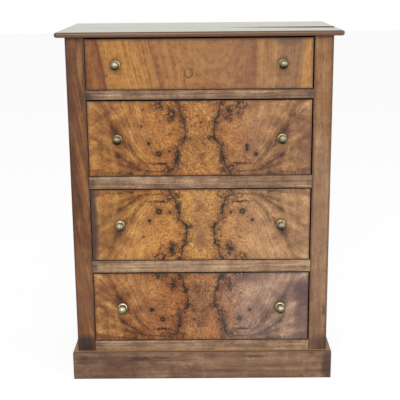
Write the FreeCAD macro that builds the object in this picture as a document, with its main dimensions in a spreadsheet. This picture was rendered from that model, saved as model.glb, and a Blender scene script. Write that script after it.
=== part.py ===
import FreeCAD, Part
import Sketcher
import math
import os
import re

# A walnut chest of four drawers. X runs to the right as one faces it, Y from front to back, Z up.
# The origin lies on the floor, under the middle of the whole chest, knobs and top included.
# Sizes are in millimetres. Each is set here once, and every piece takes its sizes and place from them.

driving = {
    # carcass
    "carcass_width": 720, "carcass_depth": 410,
    "post_width": 51.5, "post_depth": 45, "post_edge_round": 1.5,
    "rear_post_width": 40, "rear_post_depth": 40,
    # drawer openings and the rails between them, from the top down
    "drawer_1_opening": 142, "rail_1_height": 26,
    "drawer_2_opening": 213, "rail_2_height": 36,
    "drawer_3_opening": 209, "rail_3_height": 36,
    "drawer_4_opening": 207, "bottom_rail_face": 31, "bottom_rail_lap": 20,
    "rail_depth": 45, "rail_shoulder": 5,
    "tenon_length": 22, "tenon_thickness": 26, "tenon_set_back": 10,
    "tenon_end_gap": 1, "fit_gap": 0.1,
    # top
    "top_thickness": 14, "top_side_overhang": 26, "top_front_overhang": 21, "top_back_overhang": 5,
    "top_joint_set_back": 155, "top_edge_round": 6, "top_corner_round": 9,
    "top_crack_width": 1.8, "top_crack_length": 205, "top_board_step": 2,
    # plinth
    "plinth_height": 83, "plinth_thickness": 14, "plinth_edge_round": 2,
    "glue_block_length": 60, "glue_block_height": 40, "glue_block_thickness": 25,
    "glue_block_spacing": 220, "side_block_spacing": 150,
    # framed sides
    "side_rail_thickness": 24, "side_top_rail_height": 60, "side_bottom_rail_height": 90,
    "side_rail_lap": 30, "side_shoulder": 12, "side_tenon_length": 20,
    "groove_width": 12, "groove_depth": 10, "groove_set_in": 6,
    "panel_slack": 0.25, "panel_play": 1,
    # back
    "back_rail_height": 60, "back_rail_thickness": 20, "back_tenon_length": 16,
    "back_tenon_inset": 5, "back_shoulder": 10,
    "back_board_thickness": 12, "back_board_count": 3, "back_board_gap": 1,
    "rebate_width": 12, "rebate_gap": 0.5,
    # runners, with their guides, and drawer stops
    "runner_thickness": 24, "runner_ledge": 22, "guide_height": 18, "runner_notch": 8,
    "runner_tongue_length": 8, "runner_tongue_thickness": 8, "runner_tongue_inset": 3,
    "stop_length": 40, "stop_depth": 14, "stop_height": 7, "stop_spacing": 400, "stop_gap": 0.3,
    # drawers
    "drawer_back_room": 16, "side_gap_left": 1.2, "side_gap_right": 3,
    "runner_gap": 0.3, "front_gap_below": 1,
    "drawer_1_gap_above": 5, "drawer_2_gap_above": 3.5,
    "drawer_3_gap_above": 2.2, "drawer_4_gap_above": 2.2,
    "veneer_thickness": 1.5, "seam_off_middle": 2,
    "front_thickness": 20, "side_thickness": 12, "back_thickness": 12, "bottom_thickness": 8,
    "side_drop": 3, "back_drop": 3,
    "bottom_rise": 12, "drawer_groove_depth": 6, "bottom_play": 0.5,
    # dovetails
    "lap_thickness": 6, "tail_wide": 34, "tail_narrow": 26,
    "drawer_1_tails": 3, "drawer_2_tails": 4, "drawer_3_tails": 4, "drawer_4_tails": 4,
    # knobs
    "knob_spacing": 451.5, "knob_radius": 12.5, "knob_stand": 20, "knob_neck_radius": 5,
    "rose_radius": 13, "rose_thickness": 3.5,
    "screw_radius": 3, "screw_length": 16, "screw_hole_gap": 0.1, "screw_sides": 8,
    "drawer_1_knob_height": 68, "drawer_2_knob_height": 104,
    "drawer_3_knob_height": 104.5, "drawer_4_knob_height": 101.5,
    # oval keyhole ring, and the plug that fills it
    "keyhole_left": 29.5, "keyhole_height": 45.5,
    "keyhole_half_width": 11.5, "keyhole_half_height": 14, "ring_wall": 1.7,
    "ring_proud": 1, "ring_depth": 8, "plug_proud": 0.2,
}

doc = FreeCAD.newDocument("chest_of_drawers")
sheet = doc.addObject("Spreadsheet::Sheet", "sizes")
for row, (name, value) in enumerate(driving.items(), 1):
    sheet.set(f"A{row}", name)
    sheet.set(f"B{row}", str(value))
    sheet.setAlias(f"B{row}", name)
doc.recompute()

# Levels and planes that many pieces share, as rules in the sheet's names
half_width = "carcass_width / 2"
post_inner = "(carcass_width / 2 - post_width)"
rear_post_inner = "(carcass_width / 2 - rear_post_width)"
rear_post_face = "(carcass_depth - rear_post_depth)"
side_rail_inner = "(carcass_width / 2 - side_rail_thickness)"
back_seat = "(carcass_depth - back_board_thickness)"
knob_front = "(knob_stand + knob_radius)"
front_plane = f"({knob_front} - carcass_depth - top_back_overhang) / 2"
floor_of = {4: "(plinth_height + bottom_rail_face)"}
for drawer in (3, 2, 1):
    floor_of[drawer] = f"({floor_of[drawer + 1]} + drawer_{drawer + 1}_opening + rail_{drawer}_height)"
carcass_height = f"({floor_of[1]} + drawer_1_opening)"

pieces = []


def in_sheet(rule):
    # a rule's plain names become cells of the sheet
    return re.sub(r"[a-z]\w*", lambda word: "sizes." + word[0] if word[0] in driving else word[0], rule)


def bind(item, rules):
    for target, rule in rules.items():
        item.setExpression(target, in_sheet(rule))


def new_piece(label, level="0", middle="0"):
    # one piece, with its own frame on the front plane at the given level
    body = doc.addObject("PartDesign::Body", label)
    body.Label = label
    body.AllowCompound = True
    bind(body, {"Placement.Base.x": middle, "Placement.Base.y": front_plane, "Placement.Base.z": level})
    pieces.append(body)
    return body


def origin_part(body, role):
    return next(part for part in body.Origin.OriginFeatures if part.Role == role)


def block(body, name, x, y, z, cut=False):
    # a rectangular length of wood, or the room for one, between two rules on each axis
    kind = "PartDesign::SubtractiveBox" if cut else "PartDesign::AdditiveBox"
    feature = body.newObject(kind, f"{body.Name}_{name}")
    rules = {}
    for length, axis, (low, high) in zip(("Length", "Width", "Height"), "xyz", (x, y, z)):
        rules[length] = f"({high}) - ({low})"
        rules[f"Placement.Base.{axis}"] = low
    bind(feature, rules)
    return feature


def screw(body, name, x, y, z, radius, cut=False):
    # a screw's shank from front to back, or its hole, drawn with a few flat sides
    kind = "PartDesign::SubtractivePrism" if cut else "PartDesign::AdditivePrism"
    feature = body.newObject(kind, f"{body.Name}_{name}")
    feature.Placement = FreeCAD.Placement(FreeCAD.Vector(), FreeCAD.Rotation(FreeCAD.Vector(1, 0, 0), -90))
    low, high = y
    bind(feature, {"Polygon": "screw_sides", "Circumradius": radius, "Height": f"({high}) - ({low})",
                   "Placement.Base.x": x, "Placement.Base.y": low, "Placement.Base.z": z})
    return feature


def span(side, near, far):
    # a stretch between two distances from the middle, on the left (-1) or right (1)
    return (near, far) if side > 0 else (f"-({far})", f"-({near})")


def widened(limits, gap="fit_gap"):
    low, high = limits
    return f"{low} - {gap}", f"{high} + {gap}"


def mirrored(body, originals):
    feature = body.newObject("PartDesign::Mirrored", f"{body.Name}_pair")
    feature.Originals = originals
    feature.MirrorPlane = (origin_part(body, "YZ_Plane"), [""])
    body.Tip = feature
    return feature


def repeated_upwards(body, name, originals, count, pitch):
    feature = body.newObject("PartDesign::LinearPattern", f"{body.Name}_{name}")
    feature.Originals = originals
    feature.Direction = (origin_part(body, "Z_Axis"), [""])
    bind(feature, {"Length": f"({count} - 1) * ({pitch})", "Occurrences": count})
    body.Tip = feature
    return feature


def runs_along(edge, axis):
    lengths = {"x": edge.BoundBox.XLength, "y": edge.BoundBox.YLength, "z": edge.BoundBox.ZLength}
    return all(length < 0.01 for other, length in lengths.items() if other != axis)


def rounded(body, name, radius, wanted):
    # rounds the edges of the piece as it is so far that the test picks out
    doc.recompute()
    base = body.Tip
    box = base.Shape.BoundBox
    edges = [f"Edge{i}" for i, edge in enumerate(base.Shape.Edges, 1) if wanted(edge, edge.CenterOfMass, box)]
    feature = body.newObject("PartDesign::Fillet", f"{body.Name}_{name}")
    feature.Base = (base, edges)
    bind(feature, {"Radius": radius})
    return feature


def sketch_on(body, plane, name):
    sketch = body.newObject("Sketcher::SketchObject", f"{body.Name}_{name}")
    sketch.AttachmentSupport = [(origin_part(body, plane), "")]
    sketch.MapMode = "FlatFace"
    return sketch


def hold(sketch, kind, line, end, rule):
    # holds one end of a line at a rule's distance from the sketch's origin
    until_bound = 10.0
    index = sketch.addConstraint(Sketcher.Constraint(kind, -1, 1, line, end, until_bound))
    bind(sketch, {f"Constraints[{index}]": rule})


def fix_point(sketch, line, end, x, y):
    hold(sketch, "DistanceX", line, end, x)
    hold(sketch, "DistanceY", line, end, y)


def polygon(sketch, corners):
    # straight lines through the corners in turn, drawn first round a circle and then held in place
    count = len(corners)
    start_radius = driving["carcass_width"] / 2
    turns = [2 * math.pi * i / count for i in range(count)]
    start = [FreeCAD.Vector(start_radius * math.cos(turn), start_radius * math.sin(turn), 0)
             for turn in turns]
    for i in range(count):
        sketch.addGeometry(Part.LineSegment(start[i], start[(i + 1) % count]), False)
    for i in range(count):
        sketch.addConstraint(Sketcher.Constraint("Coincident", i, 2, (i + 1) % count, 1))
    for i, (x, y) in enumerate(corners):
        fix_point(sketch, i, 1, x, y)


def plate(label, level, corners, thickness):
    # a board lying flat, cut to an outline
    body = new_piece(label, level)
    sketch = sketch_on(body, "XY_Plane", "outline")
    polygon(sketch, corners)
    pad = body.newObject("PartDesign::Pad", f"{label}_board")
    pad.Profile = sketch
    bind(pad, {"Length": thickness})
    return body


# Rails across the front: underside and top of each
front_rails = {
    "drawer_rail_1": (f"{floor_of[1]} - rail_1_height", floor_of[1]),
    "drawer_rail_2": (f"{floor_of[2]} - rail_2_height", floor_of[2]),
    "drawer_rail_3": (f"{floor_of[3]} - rail_3_height", floor_of[3]),
    "bottom_rail": ("(plinth_height - bottom_rail_lap)", floor_of[4]),
}
tenon_depth = ("tenon_set_back", "tenon_set_back + tenon_thickness")


def front_tenon(rail):
    low, high = front_rails[rail]
    return f"{low} + rail_shoulder", f"{high} - rail_shoulder"


# Rails of the framed sides: underside and top, and the tenons clear of the panel's groove
lower_rail = ("(plinth_height - side_rail_lap)", "(plinth_height - side_rail_lap + side_bottom_rail_height)")
upper_rail = (f"({carcass_height} - side_top_rail_height)", carcass_height)
lower_tenon = (f"{lower_rail[0]} + side_shoulder", f"{lower_rail[1]} - groove_depth")
upper_tenon = (f"{upper_rail[0]} + groove_depth", f"{upper_rail[1]} - side_shoulder")
panel_room = (f"{lower_rail[1]} - groove_depth", f"{upper_rail[0]} + groove_depth")
groove_near = f"({half_width} - groove_set_in - groove_width)"
groove_far = f"({half_width} - groove_set_in)"

# Rails of the back
back_rails = {
    "back_top_rail": (f"{carcass_height} - back_rail_height", carcass_height),
    "back_bottom_rail": (lower_rail[0], f"{lower_rail[0]} + back_rail_height"),
}
back_rail_depth = (f"{back_seat} - back_rail_thickness", back_seat)
back_tenon_depth = (f"{back_rail_depth[0]} + back_tenon_inset", f"{back_seat} - back_tenon_inset")


def back_tenon(rail):
    low, high = back_rails[rail]
    return f"{low} + back_shoulder", f"{high} - back_shoulder"


def side_frame_joints(body, side, face, inward):
    # mortises and panel groove in a post, cut from the face that the side rails meet
    across = span(side, groove_near, groove_far)
    depths = {"groove": "groove_depth", "mortise": "side_tenon_length + tenon_end_gap"}
    reach = {}
    for name, depth in depths.items():
        reach[name] = (face, f"{face} + {depth}") if inward > 0 else (f"{face} - ({depth})", face)
    block(body, "panel_groove", across, reach["groove"], panel_room, cut=True)
    for name, tenon in (("lower", lower_tenon), ("upper", upper_tenon)):
        block(body, f"{name}_mortise", widened(across), reach["mortise"], widened(tenon), cut=True)


def front_post(label, side):
    body = new_piece(label)
    block(body, "blank", span(side, post_inner, half_width), ("0", "post_depth"), ("0", carcass_height))
    rounded(body, "eased_edge", "post_edge_round",
            lambda edge, at, box: (runs_along(edge, "z") and at.y < box.YMin + 0.01
                                   and at.x * side > abs(box.Center.x)))
    for rail in front_rails:
        mortise = span(side, post_inner, f"{post_inner} + tenon_length + tenon_end_gap")
        block(body, f"{rail}_mortise", mortise, widened(tenon_depth), widened(front_tenon(rail)), cut=True)
    side_frame_joints(body, side, "post_depth", -1)


def rear_post(label, side):
    body = new_piece(label)
    block(body, "blank", span(side, rear_post_inner, half_width), (rear_post_face, "carcass_depth"),
          ("0", carcass_height))
    block(body, "rebate", span(side, rear_post_inner, f"{rear_post_inner} + rebate_width"),
          (back_seat, "carcass_depth"), ("0", carcass_height), cut=True)
    for rail in back_rails:
        mortise = span(side, rear_post_inner, f"{rear_post_inner} + back_tenon_length + tenon_end_gap")
        block(body, f"{rail}_mortise", mortise, widened(back_tenon_depth), widened(back_tenon(rail)),
              cut=True)
    side_frame_joints(body, side, rear_post_face, 1)
    for drawer, level in floor_of.items():
        block(body, f"runner_{drawer}_notch", span(side, rear_post_inner, f"{side_rail_inner} + fit_gap"),
              (rear_post_face, f"{rear_post_face} + runner_notch + fit_gap"),
              widened((f"{level} - runner_thickness", f"{level} + guide_height")), cut=True)


def front_rail(label):
    # one rail across the front, tenoned into both posts, with mortises for the runners behind it
    body = new_piece(label)
    low, high = front_rails[label]
    block(body, "rail", (f"-{post_inner}", post_inner), ("0", "rail_depth"), (low, high))
    reach = f"{post_inner} + tenon_length"
    block(body, "tenons", (f"-({reach})", reach), tenon_depth, front_tenon(label))
    for side in (-1, 1):
        block(body, f"runner_mortise_{'left' if side < 0 else 'right'}", widened(runner_tongue_across(side)),
              ("rail_depth - runner_tongue_length - tenon_end_gap", "rail_depth"),
              widened(runner_tongue_height(high)), cut=True)


def runner_tongue_across(side):
    near = f"{post_inner} - runner_ledge + runner_tongue_inset"
    far = f"{post_inner} - runner_tongue_inset"
    return span(side, near, far)


def runner_tongue_height(level):
    middle = f"({level} - runner_thickness / 2)"
    return f"{middle} - runner_tongue_thickness / 2", f"{middle} + runner_tongue_thickness / 2"


def runners(drawer):
    # a pair of rebated runners: the drawer slides on the ledge, and the raised part guides its side
    body = new_piece(f"runners_{drawer}", floor_of[drawer])
    ledge = span(1, f"{post_inner} - runner_ledge", side_rail_inner)
    guide = span(1, post_inner, side_rail_inner)
    length = ("rail_depth", rear_post_face)
    rear_end = (f"{rear_post_inner} + fit_gap", side_rail_inner)
    parts = [
        block(body, "ledge", ledge, length, ("-runner_thickness", "0")),
        block(body, "guide", guide, ("post_depth", rear_post_face), ("0", "guide_height")),
        block(body, "tongue", runner_tongue_across(1), ("rail_depth - runner_tongue_length", "rail_depth"),
              runner_tongue_height("0")),
        block(body, "rear_end", rear_end, (rear_post_face, f"{rear_post_face} + runner_notch"),
              ("-runner_thickness", "guide_height")),
    ]
    mirrored(body, parts)


def side_rail(label, side, limits, tenon, groove):
    body = new_piece(label)
    block(body, "rail", span(side, side_rail_inner, half_width), ("post_depth", rear_post_face), limits)
    block(body, "tenons", span(side, groove_near, groove_far),
          ("post_depth - side_tenon_length", f"{rear_post_face} + side_tenon_length"), tenon)
    block(body, "panel_groove", span(side, groove_near, groove_far), ("post_depth", rear_post_face), groove,
          cut=True)


def side_panel(label, side):
    # stands in the lower rail's groove, and is loose in the other three
    body = new_piece(label)
    block(body, "panel", span(side, f"{groove_near} + panel_slack", f"{groove_far} - panel_slack"),
          ("post_depth - groove_depth + panel_play", f"{rear_post_face} + groove_depth - panel_play"),
          (panel_room[0], f"{panel_room[1]} - panel_play"))


def back_rail(label):
    body = new_piece(label)
    block(body, "rail", (f"-{rear_post_inner}", rear_post_inner), back_rail_depth, back_rails[label])
    reach = f"{rear_post_inner} + back_tenon_length"
    block(body, "tenons", (f"-({reach})", reach), back_tenon_depth, back_tenon(label))


def back_boards():
    # boards side by side up the back, with a little room to swell
    body = new_piece("back_boards", lower_rail[0])
    reach = f"({rear_post_inner} + rebate_width - rebate_gap)"
    pitch = f"(({carcass_height} - {lower_rail[0]} + back_board_gap) / back_board_count)"
    board = block(body, "board", (f"-{reach}", reach), (back_seat, "carcass_depth"),
                  ("0", f"{pitch} - back_board_gap"))
    repeated_upwards(body, "boards", [board], "back_board_count", pitch)


def carcass():
    for side, hand in ((-1, "left"), (1, "right")):
        front_post(f"front_post_{hand}", side)
        rear_post(f"rear_post_{hand}", side)
        side_rail(f"side_top_rail_{hand}", side, upper_rail, upper_tenon,
                  (upper_rail[0], f"{upper_rail[0]} + groove_depth"))
        side_rail(f"side_bottom_rail_{hand}", side, lower_rail, lower_tenon,
                  (f"{lower_rail[1]} - groove_depth", lower_rail[1]))
        side_panel(f"side_panel_{hand}", side)
    for label in front_rails:
        front_rail(label)
    for label in back_rails:
        back_rail(label)
    back_boards()
    for drawer in floor_of:
        runners(drawer)


def on_top_or_bottom(at, box):
    return at.z < box.ZMin + 0.01 or at.z > box.ZMax - 0.01


def top_boards():
    # two boards edge to edge, their joint opened at the right end; front edge and ends are rounded over
    end = f"({half_width} + top_side_overhang)"
    body = new_piece("top_front_board", carcass_height)
    block(body, "board", (f"-{end}", end), ("-top_front_overhang", "top_joint_set_back"),
          ("0", "top_thickness"))
    rounded(body, "corners", "top_corner_round",
            lambda edge, at, box: runs_along(edge, "z") and at.y < box.YMin + 0.01)
    rounded(body, "edges", "top_edge_round",
            lambda edge, at, box: on_top_or_bottom(at, box) and at.y < box.YMax - 0.01)

    short_end = f"({end} - top_board_step)"
    rear_edge = "carcass_depth + top_back_overhang"
    crack_start = f"{short_end} - top_crack_length"
    crack_end = "top_joint_set_back + top_crack_width"
    outline = [(f"-{end}", "top_joint_set_back"), (crack_start, "top_joint_set_back"),
               (short_end, crack_end), (short_end, rear_edge), (f"-{end}", rear_edge)]
    body = plate("top_back_board", carcass_height, outline, "top_thickness")
    rounded(body, "edges", "top_edge_round",
            lambda edge, at, box: runs_along(edge, "y") and on_top_or_bottom(at, box))


def plinth():
    # boards round the foot, mitred at the front corners
    inner, outer = half_width, f"({half_width} + plinth_thickness)"
    front = [(f"-{outer}", "-plinth_thickness"), (outer, "-plinth_thickness"),
             (inner, "0"), (f"-{inner}", "0")]
    body = plate("plinth_front", "0", front, "plinth_height")
    rounded(body, "edge", "plinth_edge_round",
            lambda edge, at, box: (runs_along(edge, "x") and at.y < box.YMin + 0.01
                                   and at.z > box.ZMax - 0.01))
    for sign, hand in (("-", "left"), ("", "right")):
        outline = [(f"{sign}{outer}", "-plinth_thickness"), (f"{sign}{outer}", "carcass_depth"),
                   (f"{sign}{inner}", "carcass_depth"), (f"{sign}{inner}", "0")]
        body = plate(f"plinth_{hand}", "0", outline, "plinth_height")
        outward = -1 if sign else 1
        rounded(body, "edge", "plinth_edge_round",
                lambda edge, at, box: (runs_along(edge, "y") and at.z > box.ZMax - 0.01
                                       and (at.x - box.Center.x) * outward > 0
                                       and abs(at.x) > abs(box.Center.x) + box.XLength / 2 - 0.01))


def around(middle, length):
    return f"{middle} - {length} / 2", f"{middle} + {length} / 2"


def glue_blocks():
    # short blocks in the angle between the plinth and the rails above it
    body = new_piece("glue_blocks")
    rail_underside = front_rails["bottom_rail"][0]
    for number, middle in enumerate(("-glue_block_spacing", "0", "glue_block_spacing"), 1):
        block(body, f"front_{number}", around(middle, "glue_block_length"), ("0", "glue_block_thickness"),
              (f"{rail_underside} - glue_block_height", rail_underside))
    side_middle = f"(post_depth + {rear_post_face}) / 2"
    for side, hand in ((-1, "left"), (1, "right")):
        for end, sign in (("front", "-"), ("rear", "+")):
            middle = f"{side_middle} {sign} side_block_spacing / 2"
            block(body, f"{hand}_{end}", span(side, f"{half_width} - glue_block_thickness", half_width),
                  around(middle, "glue_block_length"),
                  (f"{lower_rail[0]} - glue_block_height", lower_rail[0]))


def drawer_stops():
    body = new_piece("drawer_stops")
    start = "veneer_thickness + front_thickness + stop_gap"
    for drawer, level in floor_of.items():
        for name, middle in (("left", "-stop_spacing / 2"), ("right", "stop_spacing / 2")):
            block(body, f"{drawer}_{name}", around(middle, "stop_length"), (start, f"{start} + stop_depth"),
                  (level, f"{level} + stop_height"))


# Planes that all drawers share
drawer_left = f"(side_gap_left - {post_inner})"
drawer_right = f"({post_inner} - side_gap_right)"
drawer_middle = "((side_gap_left - side_gap_right) / 2)"
front_rear_face = "(veneer_thickness + front_thickness)"
bottom_underside = "(runner_gap + bottom_rise)"
bottom_upper_face = "(runner_gap + bottom_rise + bottom_thickness)"
front_tails = ("veneer_thickness + lap_thickness", front_rear_face)
drawer_rear = f"({back_seat} - back_rail_thickness - drawer_back_room)"
rear_tails = (f"{drawer_rear} - back_thickness", drawer_rear)


def tail(body, name, x, y, middle, half_low, half_high, gap="0", cut=False):
    # one dovetail, or its socket: half_low and half_high are its half widths at the two ends of y
    feature = body.newObject("PartDesign::SubtractiveWedge" if cut else "PartDesign::AdditiveWedge",
                             f"{body.Name}_{name}")
    bind(feature, {
        "Xmin": x[0], "Xmax": x[1], "X2min": x[0], "X2max": x[1], "Ymin": y[0], "Ymax": y[1],
        "Zmin": f"{middle} - {half_low} - {gap}", "Zmax": f"{middle} + {half_low} + {gap}",
        "Z2min": f"{middle} - {half_high} - {gap}", "Z2max": f"{middle} + {half_high} + {gap}",
    })
    return feature


def side_limits(drawer):
    return "runner_gap", f"(drawer_{drawer}_opening - drawer_{drawer}_gap_above - side_drop)"


def tail_pitch(drawer):
    low, high = side_limits(drawer)
    return f"(({high} - {low}) / drawer_{drawer}_tails)"


def first_tail(drawer):
    return f"(runner_gap + {tail_pitch(drawer)} / 2)"


def drawer_side(drawer, hand, x, grooved):
    # tails at both ends: hidden behind the lap of the front, and right through the back
    body = new_piece(f"drawer_{drawer}_{hand}_side", floor_of[drawer])
    middle = first_tail(drawer)
    block(body, "board", x, (front_rear_face, rear_tails[0]), side_limits(drawer))
    tails = [tail(body, "front_tail", x, front_tails, middle, "tail_wide / 2", "tail_narrow / 2"),
             tail(body, "rear_tail", x, rear_tails, middle, "tail_narrow / 2", "tail_wide / 2")]
    repeated_upwards(body, "tails", tails, f"drawer_{drawer}_tails", tail_pitch(drawer))
    block(body, "groove", grooved, (front_tails[0], drawer_rear),
          widened((bottom_underside, bottom_upper_face)), cut=True)


def drawer_front(drawer, left_side, right_side, grooved):
    # core of the front, with blind sockets for the tails, the bottom's groove and holes for the knobs' screws
    body = new_piece(f"drawer_{drawer}_front", floor_of[drawer])
    high = f"drawer_{drawer}_opening - drawer_{drawer}_gap_above"
    block(body, "board", (drawer_left, drawer_right), ("veneer_thickness", front_rear_face),
          ("front_gap_below", high))
    socket_depth = (f"{front_tails[0]} - fit_gap", front_tails[1])
    sockets = [tail(body, f"{hand}_socket", x, socket_depth, first_tail(drawer), "tail_wide / 2",
                    "tail_narrow / 2", "fit_gap", cut=True)
               for hand, x in (("left", left_side), ("right", right_side))]
    repeated_upwards(body, "sockets", sockets, f"drawer_{drawer}_tails", tail_pitch(drawer))
    block(body, "groove", grooved, (f"{front_rear_face} - drawer_groove_depth", front_rear_face),
          widened((bottom_underside, bottom_upper_face)), cut=True)
    for name, x in knob_places.items():
        screw(body, f"{name}_screw_hole", x, ("veneer_thickness", "screw_length + tenon_end_gap"),
              f"drawer_{drawer}_knob_height", "screw_radius + screw_hole_gap", cut=True)
    return body


def drawer_back(drawer, left_side, right_side):
    # stands on the bottom, between the tails of the sides
    body = new_piece(f"drawer_{drawer}_back", floor_of[drawer])
    block(body, "board", (drawer_left, drawer_right), rear_tails,
          (f"{bottom_upper_face} + fit_gap", f"{side_limits(drawer)[1]} - back_drop"))
    sockets = [tail(body, f"{hand}_socket", x, rear_tails, first_tail(drawer), "tail_narrow / 2",
                    "tail_wide / 2", "fit_gap", cut=True)
               for hand, x in (("left", left_side), ("right", right_side))]
    repeated_upwards(body, "sockets", sockets, f"drawer_{drawer}_tails", tail_pitch(drawer))


def drawer_bottom(drawer, grooved):
    body = new_piece(f"drawer_{drawer}_bottom", floor_of[drawer])
    low, high = grooved
    block(body, "board", (f"{low} + bottom_play", f"{high} - bottom_play"),
          (f"{front_rear_face} - drawer_groove_depth + bottom_play", drawer_rear),
          (bottom_underside, bottom_upper_face))


knob_places = {"left": f"{drawer_middle} - knob_spacing / 2", "right": f"{drawer_middle} + knob_spacing / 2"}


def veneer_leaf(name, drawer, x, holes):
    body = new_piece(name, floor_of[drawer])
    block(body, "sheet", x, ("0", "veneer_thickness"),
          ("front_gap_below", f"drawer_{drawer}_opening - drawer_{drawer}_gap_above"))
    for hole in holes:
        screw(body, f"{hole}_screw_hole", knob_places[hole], ("0", "veneer_thickness"),
              f"drawer_{drawer}_knob_height", "screw_radius + screw_hole_gap", cut=True)
    return body


def matched_veneer(drawer):
    # two leaves opened like a book, that meet near the middle
    seam = f"({drawer_middle} + seam_off_middle)"
    leaves = [veneer_leaf(f"drawer_{drawer}_leaf_left", drawer, (drawer_left, seam), ["left"]),
              veneer_leaf(f"drawer_{drawer}_leaf_right", drawer, (seam, drawer_right), ["right"])]
    pair = doc.addObject("Part::Compound", f"drawer_{drawer}_veneer")
    pair.Links = leaves
    pair.Label = f"drawer_{drawer}_veneer"
    for leaf in leaves:
        pieces.remove(leaf)
    pieces.append(pair)


def knobs(drawer):
    # turned brass: a ball on a short neck, a round rose against the veneer and a wood screw into the front
    level = f"{floor_of[drawer]} + drawer_{drawer}_knob_height"
    body = new_piece(f"drawer_{drawer}_knobs", level, drawer_middle)
    sketch = sketch_on(body, "XY_Plane", "profile")
    bind(sketch, {"AttachmentOffset.Base.x": "knob_spacing / 2"})
    corners = [  # from the neck, over the rose and along the axis, to the front of the ball
        ("knob_neck_radius", "-rose_thickness"), ("rose_radius", "0"), ("0", "0"), ("0", f"-{knob_front}"),
    ]
    ball, neck, rim = (driving[name] for name in ("knob_radius", "knob_neck_radius", "rose_radius"))
    middle = -driving["knob_stand"]
    neck_turn = math.acos(neck / ball)
    start = [(neck, middle + ball * math.sin(neck_turn)), (neck, -driving["rose_thickness"]),
             (rim, 0), (0, 0), (0, middle - ball)]
    points = [FreeCAD.Vector(x, y, 0) for x, y in start]
    for a, b in zip(points, points[1:]):
        sketch.addGeometry(Part.LineSegment(a, b), False)
    circle = Part.Circle(FreeCAD.Vector(0, middle, 0), FreeCAD.Vector(0, 0, 1), ball)
    arc = sketch.addGeometry(Part.ArcOfCircle(circle, -math.pi / 2, neck_turn), False)
    for line in range(arc):
        sketch.addConstraint(Sketcher.Constraint("Coincident", line, 2, line + 1, 1))
    sketch.addConstraint(Sketcher.Constraint("Coincident", arc, 2, 0, 1))
    for line, (x, y) in enumerate(corners):
        fix_point(sketch, line, 2, x, y)
    fix_point(sketch, arc, 3, "0", "-knob_stand")
    hold(sketch, "DistanceX", 0, 1, "knob_neck_radius")
    turned = body.newObject("PartDesign::Revolution", f"{body.Name}_turned")
    turned.Profile = sketch
    turned.ReferenceAxis = (sketch, ["V_Axis"])
    turned.Angle = 360
    shank = screw(body, "screw", "knob_spacing / 2", ("0", "screw_length"), "0", "screw_radius")
    mirrored(body, [turned, shank])


def oval(name, half_across, half_high, y):
    # an oval length of ring or plug, standing on the front of the top drawer
    outline = doc.addObject("Part::Ellipse", f"{name}_outline")
    turn = FreeCAD.Rotation(FreeCAD.Vector(1, 1, 1), -120)
    outline.Placement = FreeCAD.Placement(FreeCAD.Vector(), turn)
    low, high = y
    bind(outline, {"MajorRadius": half_high, "MinorRadius": half_across, "Placement.Base.x": "-keyhole_left",
                   "Placement.Base.y": f"{front_plane} + {low}",
                   "Placement.Base.z": f"{floor_of[1]} + keyhole_height"})
    solid = doc.addObject("Part::Extrusion", name)
    solid.Base = outline
    solid.DirMode = "Custom"
    solid.Dir = FreeCAD.Vector(0, 1, 0)
    solid.Solid = True
    bind(solid, {"LengthFwd": f"({high}) - ({low})"})
    return solid


def cut_from(label, base, tool):
    result = doc.addObject("Part::Cut", label)
    result.Base = base
    result.Tool = tool
    result.Label = label
    return result


def keyhole(front, veneer):
    # the oval ring let into the front, and the wooden plug that fills it
    wide, high = "keyhole_half_width", "keyhole_half_height"
    inner = ("keyhole_half_width - ring_wall", "keyhole_half_height - ring_wall")
    outer_ring = oval("ring_blank", wide, high, ("-ring_proud", "ring_depth"))
    ring_room = oval("ring_room", *inner, ("-ring_proud", "ring_depth"))
    pieces.append(cut_from("keyhole_ring", outer_ring, ring_room))
    plug = oval("keyhole_plug", "keyhole_half_width - ring_wall - fit_gap",
                "keyhole_half_height - ring_wall - fit_gap", ("-plug_proud", "ring_depth"))
    pieces.append(plug)
    for body in (front, veneer):
        label = body.Label
        body.Label = f"{label}_blank"
        mortise = oval(f"{label}_oval", f"{wide} + fit_gap", f"{high} + fit_gap",
                       ("-ring_proud", "ring_depth"))
        pieces[pieces.index(body)] = cut_from(label, body, mortise)


def drawers():
    left_side = (drawer_left, f"{drawer_left} + side_thickness")
    right_side = (f"{drawer_right} - side_thickness", drawer_right)
    left_groove = (f"{left_side[1]} - drawer_groove_depth", left_side[1])
    right_groove = (right_side[0], f"{right_side[0]} + drawer_groove_depth")
    grooved = (left_groove[0], right_groove[1])
    for drawer in (1, 2, 3, 4):
        front = drawer_front(drawer, left_side, right_side, grooved)
        if drawer == 1:
            veneer = veneer_leaf("drawer_1_veneer", drawer, (drawer_left, drawer_right), ["left", "right"])
            keyhole(front, veneer)
        else:
            matched_veneer(drawer)
        drawer_side(drawer, "left", left_side, left_groove)
        drawer_side(drawer, "right", right_side, right_groove)
        drawer_back(drawer, left_side, right_side)
        drawer_bottom(drawer, grooved)
        knobs(drawer)


carcass()
top_boards()
plinth()
glue_blocks()
drawer_stops()
drawers()
doc.recompute()

faults = [f"{item.Name}: {item.State}" for item in doc.Objects if {"Invalid", "Error"} & set(item.State)]
faults += [f"{piece.Label}: bad shape" for piece in pieces
           if piece.Shape.isNull() or not piece.Shape.isValid()]
if faults:
    raise RuntimeError("\n".join(faults))

os.makedirs("parts", exist_ok=True)
for piece in pieces:
    piece.Shape.exportStep(f"parts/{piece.Label}.step")
    print(f"{piece.Label}: {len(piece.Shape.Solids)} solid(s), {piece.Shape.Volume / 1000:.1f} cm3")
print(len(pieces), "pieces")
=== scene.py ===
import bpy
import bmesh
import math
from mathutils import Matrix, Vector


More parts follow.
